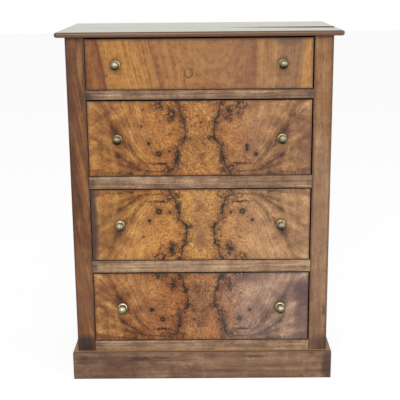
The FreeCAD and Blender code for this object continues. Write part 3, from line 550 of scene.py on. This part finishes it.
def burrVeneer(drawer, look):
    # burr walnut, sliced and opened like a book, French polished: mottled gold with ink-dark lines and eyes
    material, tree, shader = newMaterial(f"burrWalnutVeneer{drawer}", frontFinish)
    low, high = boxOf(f"drawer_{drawer}_veneer")
    foot = low.z - belowFront if look["up"] > 0 else high.z
    x, z = add(tree, "SeparateXYZ", {0: millimetres(tree, (seam, 0, foot), look["up"])}, (0, 2))
    away = add(tree, "Math", unsigned | {0: x})
    side = add(tree, "Math", {"operation": "SIGN", 0: x})
    depth = add(tree, "Math", timesPlus | {0: side, 1: look["leafStep"], 2: look["slice"]})
    leaf = add(tree, "CombineXYZ", {0: away, 1: depth, 2: z})
    broad = wandering(tree, leaf, 55, 44, 3)
    fine = wandering(tree, broad, 9, 8, 3)
    tangled = ovals(tree, wandering(tree, leaf, 12, 8, 2), figure["tangles"])
    ink, beyond = inkLines(tree, leaf, tangled)

    # cloudy ground; inside the burr small curls and flecks
    inBurr = add(tree, "MapRange", smooth | {0: beyond, 1: -6, 2: 8, 3: 0.4})
    outward = add(tree, "MapRange", smooth | {0: beyond, 1: 60, 2: 130, 3: 1, 4: 0.25})
    burr = add(tree, "Math", times | {0: inBurr, 1: outward})
    clouds = add(tree, "TexNoise", {"Vector": broad, "Scale": 1 / 38, "Detail": 6, "Roughness": 0.6})
    curls = add(tree, "TexNoise", {"Vector": fine, "Scale": 1 / 9, "Detail": 4, "Roughness": 0.62,
                                   "Distortion": 1.6})
    flecks = add(tree, "TexNoise", {"Vector": fine, "Scale": 1 / 4.2, "Detail": 3})
    between = add(tree, "MapRange", falling | {0: beyond, 1: -14, 2: -4})
    curlShare = add(tree, "MapRange", {0: burr, 3: 0.46, 4: 0.58})
    curlShare = add(tree, "Math", timesPlus | {0: between, 1: 0.16, 2: curlShare})
    tint, share, flow = fanStreaks(tree, wandering(tree, leaf, 60, 20, 3), away)
    start, full = figure["fanFrom"]
    drawnOut = add(tree, "MapRange", smooth | {0: away, 1: start, 2: full, 4: 0.75})
    texture = add(tree, "Mix", {0: drawnOut, 2: curls, 3: flow})
    tone = add(tree, "Mix", {0: curlShare, 2: clouds, 3: texture})
    tone = add(tree, "Mix", {0: 0.16, 2: tone, 3: flecks})
    tone = add(tree, "MapRange", {0: tone, 1: 0.375, 2: 0.625})
    dark = add(tree, "Math", times | {0: tangled, 1: 0.22})
    tone = add(tree, "Math", minus | {0: tone, 1: dark})
    golden = add(tree, "Math", times | {0: burr, 1: 0.3})
    growth = add(tree, "TexNoise", {"Vector": wandering(tree, leaf, 14, 10, 3), "Scale": 1 / 32, "Detail": 3,
                                    "Distortion": 0.7})
    repeated = add(tree, "Math", times | {0: growth, 1: 7})
    thread = add(tree, "Math", {"operation": "PINGPONG", 0: repeated, 1: 0.5})
    thread = add(tree, "MapRange", smooth | {0: thread, 1: 0.26, 2: 0.44})
    threadShare = add(tree, "MapRange", {0: burr, 3: 0.1, 4: 0.85})
    threadShare = add(tree, "Math", timesPlus | {0: between, 1: 0.3, 2: threadShare})
    frayed = add(tree, "MapRange", smooth | {0: flecks, 1: 0.38, 2: 0.56, 3: 1, 4: 0.3})
    for part in (threadShare, frayed):
        thread = add(tree, "Math", times | {0: thread, 1: part})
    colour = toned(tree, tone, look["tones"])
    colour = overlaid(tree, colour, ((golden, look["golden"]), (thread, "#543019")))
    colour = add(tree, "Mix", colours | {"blend_type": "MULTIPLY", 0: share, 6: colour, 7: tint}, 2)
    smoky = add(tree, "MapRange", smooth | {0: beyond, 1: -16, 2: -1, 4: 0.3})
    clearing = add(tree, "MapRange", falling | {0: beyond, 1: 3, 2: 14})
    smoky = add(tree, "Math", times | {0: smoky, 1: clearing})

    # eyes of dead knots, browner in the middle
    onFront = millimetres(tree, (0, 0, low.z - belowFront))
    ragged = wandering(tree, onFront, 6, 4, 2)
    worn = add(tree, "MapRange", smooth | {0: flecks, 1: 0.4, 2: 0.6, 3: 1, 4: 0.9})
    halo, core, middle = (
        add(tree, "Math", times | {1: strength, 0: marks(tree, ragged, [
            (x, z, radius * size) for x, z, radius in look["knots"] if radius > smallest], soft)})
        for size, smallest, soft, strength in ((2.2, 0, 0.8, 0.5), (1, 0, 0.25, worn), (0.4, 7, 0.6, 0.5)))
    colour = overlaid(tree, colour, ((smoky, "#5C3A1E"), (ink, "#1F120B"), (halo, "#5E361D"),
                                     (core, "#1C100B"), (middle, "#7E4E2C")))

    # dust and wear of a hundred years, and painted shade beside the gaps, which lie on the front and so
    # aren't mirrored
    colour = agedAndShadedFront(tree, colour, onFront, low, high, look)
    rough = add(tree, "MapRange", {0: clouds, 1: 0.3, 2: 0.7, 3: 0.36, 4: 0.5})
    bump = add(tree, "Bump", {"Height": curls, "Strength": 0.1, "Distance": 0.3 * mm})
    wired(tree, shader, {"Base Color": colour, "Roughness": rough, "Normal": bump})
    return material


def agedAndShadedFront(tree, colour, place, low, high, look):
    # a duller right end, stains, a darker band along the edges and round the knobs, a dark rim of dirt and
    # painted shade beside the gaps, and chips
    across = add(tree, "SeparateXYZ", {0: place}, 0)
    start, end, most, tint = look["haze"]
    haze = add(tree, "MapRange", smooth | {0: across, 1: start, 2: end, 4: most})
    colour = overlaid(tree, colour, [(haze, tint)])
    if "faded" in look:
        faded = add(tree, "MapRange", smooth | {0: across, 1: start, 2: end, 3: 1, 4: look["faded"]})
        colour = add(tree, "HueSaturation", {"Saturation": faded, "Color": colour})
    colour = stained(tree, colour, place, look["stains"])
    corners = (low.x, belowFront), (high.x, high.z - low.z + belowFront)
    worn = wandering(tree, place, 12, 3, 3)
    soft = add(tree, "Math", times | {0: nearEdges(tree, worn, *corners, 9), 1: 0.45})
    # a dark rim along the front's edges, beside the gaps: dirt and painted shade
    rim = nearEdges(tree, place, *corners, 1.5)
    # darker round each knob's rose
    halo = marks(tree, worn, [(knobX, look["knobHigh"] + 2, 16) for knobX in knobPlaces], 0.35)
    halo = add(tree, "Math", times | {0: halo, 1: 0.6})
    colour = overlaid(tree, colour, ((soft, "#3B2416"), (rim, "#1A0F0A"), (halo, "#4E2E17")))
    if "chips" in look:
        colour = overlaid(tree, colour, [(marks(tree, worn, look["chips"], 0.3), "#B9AE9A")])
    return colour


burrs = {
    2: {"golden": "#C07630", "up": 1, "leafStep": 3.0, "slice": 40, "knobHigh": 104,
        "haze": (0, 180, 0.13, "#6C5545"), "faded": 0.9,
        "tones": ("#593724", "#784C2B", "#936134", "#A8753E", "#BC884A", "#CE9C5E"),
        "knots": [(-141.2, 92, 5), (-113.7, 63, 8), (-84.7, 69.6, 3.4), (-161, 139.5, 2.6), (-156, 185, 2.4),
                  (-84, 117, 1.8), (128.4, 84, 6), (129, 74, 5), (153.5, 60, 6), (2.4, 149, 2.6),
                  (-44, 158, 2.4), (105, 174, 3.4), (42, 150, 3.2)],
        "stains": [(-296, 203, 22, 8, "#7C6E66", 0.4), (302, 70, 34, 100, "#583A32", 0.55),
                   # a near-black band along the front's top edge: painted shade in the gap under the rail
                   # above
                   (0, 211, 340, 3, "#100906", 0.95)],
        "chips": [(-207, 206, 1.3), (239.3, 206.5, 1.6)]},
    3: {"golden": "#C98238", "up": -1, "leafStep": 2.5, "slice": 46, "knobHigh": 104.5,
        "haze": (-20, 180, 0.08, "#A3927C"), "faded": 0.88,
        "tones": ("#6A432A", "#8E5E36", "#AA763F", "#BE8849", "#CB9855", "#D6A86C"),
        "knots": [(-143.5, 116.6, 5), (-117, 143, 9), (-86, 141, 3.6), (-83.4, 33, 6), (-81, 44, 4),
                  (84.9, 140.3, 3.6), (116.5, 143, 8.6), (144, 117.8, 4.6), (84.8, 34.1, 6),
                  (-162, 69.3, 2.4)],
        "stains": [(-303, 100, 19, 240, "#38282A", 0.9), (-250, 90, 56, 120, "#70492C", 0.35),
                   (0, 62, 16, 40, "#6A4438", 0.4), (0, 120, 34, 110, "#7E5F56", 0.22),
                   (276, 100, 56, 150, "#6E5344", 0.18)]},
    4: {"golden": "#B66C34", "up": 1, "leafStep": 2.5, "slice": 53, "knobHigh": 101.5,
        "haze": (0, 150, 0.12, "#B5A69F"), "faded": 0.76,
        "tones": ("#57341F", "#774A2B", "#956239", "#AB7748", "#C08D58", "#D6A76C"),
        "knots": [(-142.9, 94, 6.6), (-112.6, 65, 7.6), (138.5, 93.2, 5.4), (110, 66, 7.6), (-86, 74, 2.4),
                  (84, 118, 1.6), (-86, 118, 1.6), (-20, 66, 2.4), (-56, 12, 2.6)],
        "stains": [(285, 150, 40, 46, "#5A4449", 0.7), (298, 80, 38, 130, "#5A4044", 0.6),
                   (185, 75, 24, 26, "#5E3F30", 0.45), (-4, 120, 34, 120, "#46353A", 0.32),
                   (-14, 160, 16, 22, "#5A3526", 0.4),
                   (8, 84, 14, 26, "#5F382A", 0.45), (-22, 92, 7, 7, "#3E2318", 0.6),
                   (-22, 62, 6, 6, "#3E2318", 0.6), (24, 30, 26, 34, "#B06A3A", 0.45),
                   (150, 190, 60, 22, "#6A4A3A", 0.4)]},
}
for drawer, look in burrs.items():
    nodes[f"drawer_{drawer}_veneer"].data.materials[0] = burrVeneer(drawer, look)
print("burr veneers laid:", len(burrs))

plainSheet = {
    "knobHigh": 68, "haze": (-330, 330, 0.2, "#94806C"),
    "slants": (-150, 290, 0.22, -0.1), "slantsFrom": 70,  # two places and how far the bands lean at each
    "bands": [(-312, "#8A5730"), (-296, "#9C683A"), (-280, "#925D34"), (-271, "#84532D"), (-266, "#7A4A29"),
              (-262, "#AD7A42"), (-240, "#BA8545"), (-180, "#BD8B4A"), (-128, "#AD7C43"), (-121, "#A3713E"),
              (-119, "#74482A"), (-116, "#A5733F"), (-60, "#AC7A46"), (20, "#A87644"), (90, "#A57345"),
              (138, "#94623B"), (150, "#8F5E3A"), (160, "#AE7F4A"), (205, "#B38550"), (221, "#9C7048"),
              (250, "#9A7049"), (272, "#9C7147"), (279, "#A87742"), (284, "#C9934D"), (306, "#C18A46")],
    "rings": (39, 152), "ringsEnd": (60, 115),  # middle of the nested arcs, and where they fade out
    "holes": [(-249.9, 38.5, 1.9), (-221.8, 98.7, 1.2), (207.9, 6.9, 1.6)],
    "stains": [(238, 130, 46, 18, "#66503E", 0.7), (-262, 44, 12, 14, "#6E4A30", 0.6),
               # the next stain, a dark band along the front's top edge, is dirt and painted shadow under the
               # top
               (0, 143, 330, 10, "#6A5038", 0.55), (20, 12, 60, 8, "#80502E", 0.4),
               (150, 70, 8, 22, "#80503A", 0.5)],
}


def plainVeneer(look):
    # walnut sheet cut on the slant, French polished: steep lines, broad light and dark bands, nested arcs
    material, tree, shader = newMaterial("plainWalnutVeneer", frontFinish)
    low, high = boxOf("drawer_1_veneer")
    place = millimetres(tree, (0, 0, low.z - belowFront))
    bent = wandering(tree, place, 110, 22, 2)
    x, z = add(tree, "SeparateXYZ", {0: bent}, (0, 2))
    left, right, slant, otherSlant = look["slants"]
    lean = add(tree, "MapRange", {0: x, 1: left, 2: right, 3: slant, 4: otherSlant})
    above = add(tree, "Math", minus | {0: z, 1: look["slantsFrom"]})
    across = add(tree, "Math", timesPlus | {0: above, 1: lean, 2: x})
    start, end = look["bands"][0][0], look["bands"][-1][0]
    share = add(tree, "MapRange", {0: across, 1: start, 2: end})
    colour = add(tree, "ValToRGB", {"Fac": share, "stops": [
        ((at - start) / (end - start), tint) for at, tint in look["bands"]]})

    # grain lines, steep at the ends and in nested arcs between them
    drawnOut = add(tree, "Math", times | {0: z, 1: 0.03})
    drawn = add(tree, "CombineXYZ", {0: across, 2: drawnOut})
    radius = fromOval(tree, bent, *look["rings"], 1, 1.5)
    arcs = add(tree, "CombineXYZ", {0: radius, 1: 7.0})  # the depth only picks another part of the noise
    inner, outer = look["ringsEnd"]
    nearArcs = add(tree, "MapRange", falling | {0: radius, 1: inner, 2: outer})
    grain = add(tree, "Mix", {"data_type": "VECTOR", 0: nearArcs, 4: drawn, 5: arcs}, 1)
    coarse = add(tree, "TexNoise", {"Vector": grain, "Scale": 1 / 9, "Detail": 4, "Roughness": 0.6})
    lines = add(tree, "TexNoise", {"Vector": grain, "Scale": 1 / 2.4, "Detail": 3, "Roughness": 0.6})
    cloud = add(tree, "TexNoise", {"Vector": bent, "Scale": 1 / 16, "Detail": 6, "Roughness": 0.75})
    tone = add(tree, "Mix", {0: 0.45, 2: coarse, 3: lines})
    tone = add(tree, "Mix", {0: 0.45, 2: tone, 3: cloud})
    tint = add(tree, "ValToRGB", {"Fac": tone, "stops": [
        (0.38, "#A88C72"), (0.45, "#CEBBA5"), (0.52, "#EEE6DD"), (0.6, "#FFFFFF")]})
    colour = add(tree, "Mix", colours | {"blend_type": "MULTIPLY", 0: 1.0, 6: colour, 7: tint}, 2)
    colour = agedAndShadedFront(tree, colour, place, low, high, look)
    colour = overlaid(tree, colour, [(marks(tree, place, look["holes"], 0.4), holeColour)])
    bump = add(tree, "Bump", {"Height": tone, "Strength": 0.12, "Distance": 0.3 * mm})
    wired(tree, shader, {"Base Color": colour, "Normal": bump})
    return material


sheetMaterial = plainVeneer(plainSheet)
for name in ("drawer_1_veneer", "keyhole_plug"):
    nodes[name].data.materials[0] = sheetMaterial
print("plain veneer laid, and the keyhole's plug")


# Brass, cast and turned, tarnished: yellow where hands rub it, olive and brown where they don't, with
# painted light and shade carried by a vertex attribute

def agedBrass(name, look):
    material, tree, shader = newMaterial(name, {"Metallic": 1.0})
    place = millimetres(tree)
    patches = add(tree, "TexNoise", {"Vector": place, "Scale": 1 / 5, "Detail": 5, "Roughness": 0.65})
    grime = add(tree, "Attribute", {"attribute_name": "grime"}, "Fac")
    # tarnish, with the painted light and shade of the vertex attribute
    tarnishAndShade = add(tree, "Math", timesPlus | {0: patches, 1: 0.7, 2: grime})
    colour = add(tree, "ValToRGB", {"Fac": tarnishAndShade, "stops": look["tones"]})
    rough = add(tree, "MapRange", {0: tarnishAndShade, 1: 0.2, 2: 1.1, 3: look["polish"], 4: 0.55})
    pits = add(tree, "TexNoise", {"Vector": place, "Scale": 1 / 1.1, "Detail": 2})
    bump = add(tree, "Bump", {"Height": pits, "Strength": 0.18, "Distance": 0.2 * mm})
    wired(tree, shader, {"Base Color": colour, "Roughness": rough, "Normal": bump})
    return material


brassMaterial = agedBrass("tarnishedBrass", {"polish": 0.28, "tones": [
    (0.24, "#E6DCB8"), (0.44, "#C6BD9C"), (0.68, "#928C70"), (0.88, "#5D5946"), (1.0, "#332F25")]})
ringMaterial = agedBrass("tarnishedBrassRing", {"polish": 0.4, "tones": [
    (0.2, "#8C7B66"), (0.5, "#6B5648"), (0.9, "#44342B")]})


# Turned knobs: a ball on a short neck, a domed rose and a wood screw

knob = {
    "ball": 12.5, "stand": 20.0, "turns": 48, "rings": 28,
    "screwRadius": 3.0, "screwLength": 16.0, "screwTurns": 16,
    "ballEnds": 11.0,  # how far behind the ball's middle the neck begins
    "hardEdge": 1,  # edges that turn by more than this, in radians, stay hard
    "ballTarnishAndShade": (0.42, 0.36, 0.25),  # tarnish at the ball's middle, how much less on top and more behind: painted light above, painted shade below and behind
    "neckDirtAndShadow": 0.9, "rimGrime": 0.2, "rimFrom": 9.0,  # dirt and painted shadow round the neck; the rose's rim is bright
    # radius and place along the axis
    "neckAndRose": [(0.0, -8.6), (4.4, -8.6), (4.2, -7.0), (4.6, -5.4), (6.0, -4.1), (8.2, -3.4),
                    (10.4, -2.6), (12.0, -1.6), (12.8, -0.8), (13.0, 0.0), (0.0, 0.0)],
    # how much duller the left and the right knob of each drawer is, or brighter where it is below 0
    "wear": {1: (-0.03, 0.04), 2: (0.11, 0.02), 3: (0.02, 0.08), 4: (-0.07, 0.02)},
}


def spun(mesh, points, turns, closed=False):
    # a profile, each point a radius and a place on the axis, turned round the axis from front to back
    verts = [mesh.verts.new((radius * mm, y * mm, 0)) for radius, y in points]
    following = verts[1:] + verts[:1] if closed else verts[1:]
    edges = [mesh.edges.new(pair) for pair in zip(verts, following)]
    bmesh.ops.spin(mesh, geom=verts + edges, cent=(0, 0, 0), axis=(0, 1, 0), angle=math.tau, steps=turns,
                   use_merge=True)


def turnedKnob(mesh, grime):
    # one knob at the origin, its axis from front to back
    ball = bmesh.ops.create_uvsphere(mesh, u_segments=knob["turns"], v_segments=knob["rings"],
                                     radius=knob["ball"] * mm)
    thick = knob["screwRadius"] * mm
    screw = bmesh.ops.create_cone(mesh, cap_ends=True, segments=knob["screwTurns"], radius1=thick,
                                  radius2=thick, depth=knob["screwLength"] * mm)
    laidDown = Matrix.Rotation(math.pi / 2, 3, "X")
    for part, y in ((ball, -knob["stand"]), (screw, knob["screwLength"] / 2)):
        bmesh.ops.rotate(mesh, verts=part["verts"], cent=(0, 0, 0), matrix=laidDown)
        bmesh.ops.translate(mesh, verts=part["verts"], vec=(0, y * mm, 0))
    spun(mesh, knob["neckAndRose"], knob["turns"])
    bmesh.ops.remove_doubles(mesh, verts=mesh.verts, dist=0.001 * mm)
    for edge in mesh.edges:
        edge.smooth = edge.calc_face_angle(0) < knob["hardEdge"]
    level, above, back = knob["ballTarnishAndShade"]
    for vert in mesh.verts:
        x, y, z = vert.co / mm
        if y < -knob["stand"] + knob["ballEnds"]:  # brighter above and in front, darker below and behind: rubbed tarnish with painted light and shade
            behind = max(0.0, (y + knob["stand"]) / knob["ball"])
            vert[grime] = level - above * z / knob["ball"] + back * behind
        else:
            # dirt and painted shadow round the neck, where the ball shades the rose; the rose's rim stays
            # bright
            vert[grime] = knob["neckDirtAndShadow"] if math.hypot(x, z) < knob["rimFrom"] else knob["rimGrime"]


def knobPair(drawer):
    node = f"drawer_{drawer}_knobs"
    low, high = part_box(node)
    reach = max(radius for radius, y in knob["neckAndRose"]) * mm
    mesh = bmesh.new()
    grime = mesh.verts.layers.float.new("grime")
    turnedKnob(mesh, grime)
    bmesh.ops.recalc_face_normals(mesh, faces=mesh.faces)
    twin = bmesh.ops.duplicate(mesh, geom=mesh.verts[:] + mesh.edges[:] + mesh.faces[:])
    twinVerts = [part for part in twin["geom"] if isinstance(part, bmesh.types.BMVert)]
    left, right = knob["wear"][drawer]
    for verts, wear in ((mesh.verts, left), (twinVerts, right - left)):
        for vert in verts:
            vert[grime] += wear
    bmesh.ops.translate(mesh, verts=twinVerts, vec=(high.x - low.x - 2 * reach, 0, 0))
    place = (low.x + reach, high.y - knob["screwLength"] * mm, (low.z + high.z) / 2)
    bmesh.ops.translate(mesh, verts=mesh.verts, vec=place)
    finished(mesh, f"knobPair{drawer}", brassMaterial, f"drawer_{drawer}", node)


def inScene(name, data):
    thing = bpy.data.objects.new(name, data)
    bpy.context.scene.collection.objects.link(thing)
    return thing


def written(mesh, name, material):
    # the mesh as an object of the scene
    data = bpy.data.meshes.new(name)
    mesh.to_mesh(data)
    mesh.free()
    data.materials.append(material)
    return inScene(name, data)


def finished(mesh, name, material, body, node):
    # a new piece, which moves with its body and takes the place of a packed one
    for face in mesh.faces:
        face.smooth = True
    piece = written(mesh, name, material)
    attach(piece, body)
    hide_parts(node)


for drawer in drawers:
    knobPair(drawer)
print("knobs turned: 8")


# Top, front board: sunk towards its right end, so that the back board stands up behind it as a dark step

sunk = {
    # x where it begins, how far down and forward it goes, and in how many steps
    "from": 60, "depth": 3.0, "reach": 70, "cuts": 8,
    "flat": 0.995, "softEdge": 0.06,  # faces that lean more and edges that turn less are shaded smooth
}


def sunkTopBoard():
    board = nodes["top_front_board"]
    low, high = boxOf("top_front_board")
    mesh = bmesh.new()
    mesh.from_mesh(board.data)
    mesh.transform(board.matrix_world)
    bmesh.ops.remove_doubles(mesh, verts=mesh.verts, dist=0.01 * mm)
    length, start = high.x - sunk["from"], high.y - sunk["reach"]
    cuts = [((sunk["from"] + length * cut / sunk["cuts"], 0, 0), (1, 0, 0)) for cut in range(sunk["cuts"])]
    cuts += [((0, start, 0), (0, 1, 0)), ((0, start + sunk["reach"] / 2, 0), (0, 1, 0))]
    for place, facing in cuts:
        bmesh.ops.bisect_plane(mesh, geom=mesh.verts[:] + mesh.edges[:] + mesh.faces[:],
                               plane_co=[part * mm for part in place], plane_no=facing)
    half = (high.z - low.z) / 2
    for vert in mesh.verts:
        x, y, z = vert.co / mm
        along = max(0.0, (x - sunk["from"]) / length)
        back = max(0.0, (y - start) / sunk["reach"])
        up = max(0.0, (z - low.z - half) / half)
        vert.co.z -= sunk["depth"] * along * back * up * mm
    bmesh.ops.recalc_face_normals(mesh, faces=mesh.faces)
    for edge in mesh.edges:  # only the sunk face and the rounded edges are shaded smooth
        flattest = max(max(abs(part) for part in face.normal) for face in edge.link_faces)
        edge.smooth = flattest < sunk["flat"] or edge.calc_face_angle(0) < sunk["softEdge"]
    finished(mesh, "topFrontBoard", board.data.materials[0], "carcass", "top_front_board")


sunkTopBoard()
print("front board of the top fitted")


# Keyhole ring: an oval band of rounded section, let into the front

ring = {
    "wall": 1.7, "turns": 64, "grime": (0.3, 0.25),  # tarnish at its middle height, and how much less on top: a painted highlight
    # its rounded face: how far in from the outer and inner side, and how far back from the front
    "face": [(0, 0.4), (0.35, 0.1), (0.85, 0)],
}


def keyholeRing():
    low, high = boxOf("keyhole_ring")
    middle, half = (low + high) / 2, (high - low) / 2
    inner = half.z - ring["wall"]
    mesh = bmesh.new()
    grime = mesh.verts.layers.float.new("grime")
    face = ring["face"]
    section = [(half.z, high.y)] + [(half.z - inwards, low.y + back) for inwards, back in face]
    section += [(inner + inwards, low.y + back) for inwards, back in face[-2::-1]] + [(inner, high.y)]
    spun(mesh, section, ring["turns"], closed=True)
    bmesh.ops.scale(mesh, verts=mesh.verts, vec=(half.x / half.z, 1, 1))
    level, above = ring["grime"]
    for vert in mesh.verts:
        # lighter towards the top: painted highlight
        vert[grime] = level - above * vert.co.z / mm / half.z
    bmesh.ops.translate(mesh, verts=mesh.verts, vec=(middle.x * mm, 0, middle.z * mm))
    bmesh.ops.recalc_face_normals(mesh, faces=mesh.faces)
    finished(mesh, "keyholeRing", ringMaterial, "drawer_1", "keyhole_ring")


keyholeRing()
print("keyhole ring made")


# Studio: white floor and backdrop, soft light, the photograph's camera

studio = {
    "camera": (0.0153, -2.63305, 1.1536), "yaw": -0.0070, "pitch": 0.2489, "roll": 0.0093,
    "focal": 903.6, "frame": 400, "floorSize": 30, "world": 0.5,
    "lamps": [  # name, place, aim, size, watts
        ("keyLamp", (-0.35, -3.5, 2.6), (0, 0, 0.55), 2.0, 78),
        ("fillLamp", (2.6, -1.6, 1.8), (0, 0, 0.5), 2.4, 30),
    ],
}


def photographCamera():
    camera = bpy.data.cameras.new("photographCamera")
    camera.sensor_width = 36
    camera.lens = studio["focal"] / studio["frame"] * camera.sensor_width
    view = inScene("photographCamera", camera)
    yaw, pitch, roll = studio["yaw"], studio["pitch"], studio["roll"]
    flat = Vector((math.cos(yaw), -math.sin(yaw), 0))
    ahead = Vector((math.cos(pitch) * math.sin(yaw), math.cos(pitch) * math.cos(yaw), -math.sin(pitch)))
    rise = flat.cross(ahead)
    right = math.cos(roll) * flat - math.sin(roll) * rise
    up = math.sin(roll) * flat + math.cos(roll) * rise
    turn = Matrix((right, up, -ahead)).transposed()
    view.matrix_world = Matrix.Translation(studio["camera"]) @ turn.to_4x4()
    bpy.context.scene.camera = view


def seenDirectly(tree):
    # 1 where the camera sees a surface, also in a mirror or through glass, and 0 where it only gives light
    rays = add(tree, "LightPath", {}).node.outputs
    return strongest(tree, [rays[f"Is {kind} Ray"] for kind in ("Camera", "Glossy", "Transmission")])


def emptyTree(owner):
    owner.use_nodes = True
    owner.node_tree.nodes.clear()
    return owner.node_tree


def studioFloor():
    mesh = bmesh.new()
    bmesh.ops.create_grid(mesh, x_segments=1, y_segments=1, size=studio["floorSize"] / 2)
    material = bpy.data.materials.new("whitePaperFloor")  # shows white, and still takes the object's shadow
    written(mesh, "studioFloor", material)
    tree = emptyTree(material)
    paper = add(tree, "BsdfDiffuse", {"Color": (0.75, 0.75, 0.75, 1)})
    shadowed = add(tree, "BsdfDiffuse", {"Color": (0.3, 0.3, 0.3, 1)})
    glow = add(tree, "Emission", {"Color": (1, 1, 1, 1), "Strength": 0.8})
    seen = add(tree, "AddShader", {0: shadowed, 1: glow})
    surface = add(tree, "MixShader", {0: seenDirectly(tree), 1: paper, 2: seen})
    add(tree, "OutputMaterial", {"Surface": surface})


def studioLight():
    world = bpy.data.worlds.new("studioWorld")
    bpy.context.scene.world = world
    tree = emptyTree(world)
    strength = add(tree, "MapRange", {0: seenDirectly(tree), 3: studio["world"]})
    background = add(tree, "Background", {"Color": (1, 1, 1, 1), "Strength": strength})
    add(tree, "OutputWorld", {"Surface": background})
    for name, place, aim, size, watts in studio["lamps"]:
        lamp = bpy.data.lights.new(name, "AREA")
        lamp.shape = "SQUARE"
        lamp.size = size
        lamp.energy = watts
        light = inScene(name, lamp)
        light.location = place
        light.rotation_euler = (Vector(aim) - Vector(place)).to_track_quat("-Z", "Y").to_euler()


photographCamera()
studioFloor()
studioLight()
bpy.context.scene.view_settings.view_transform = "Standard"
print("studio ready")
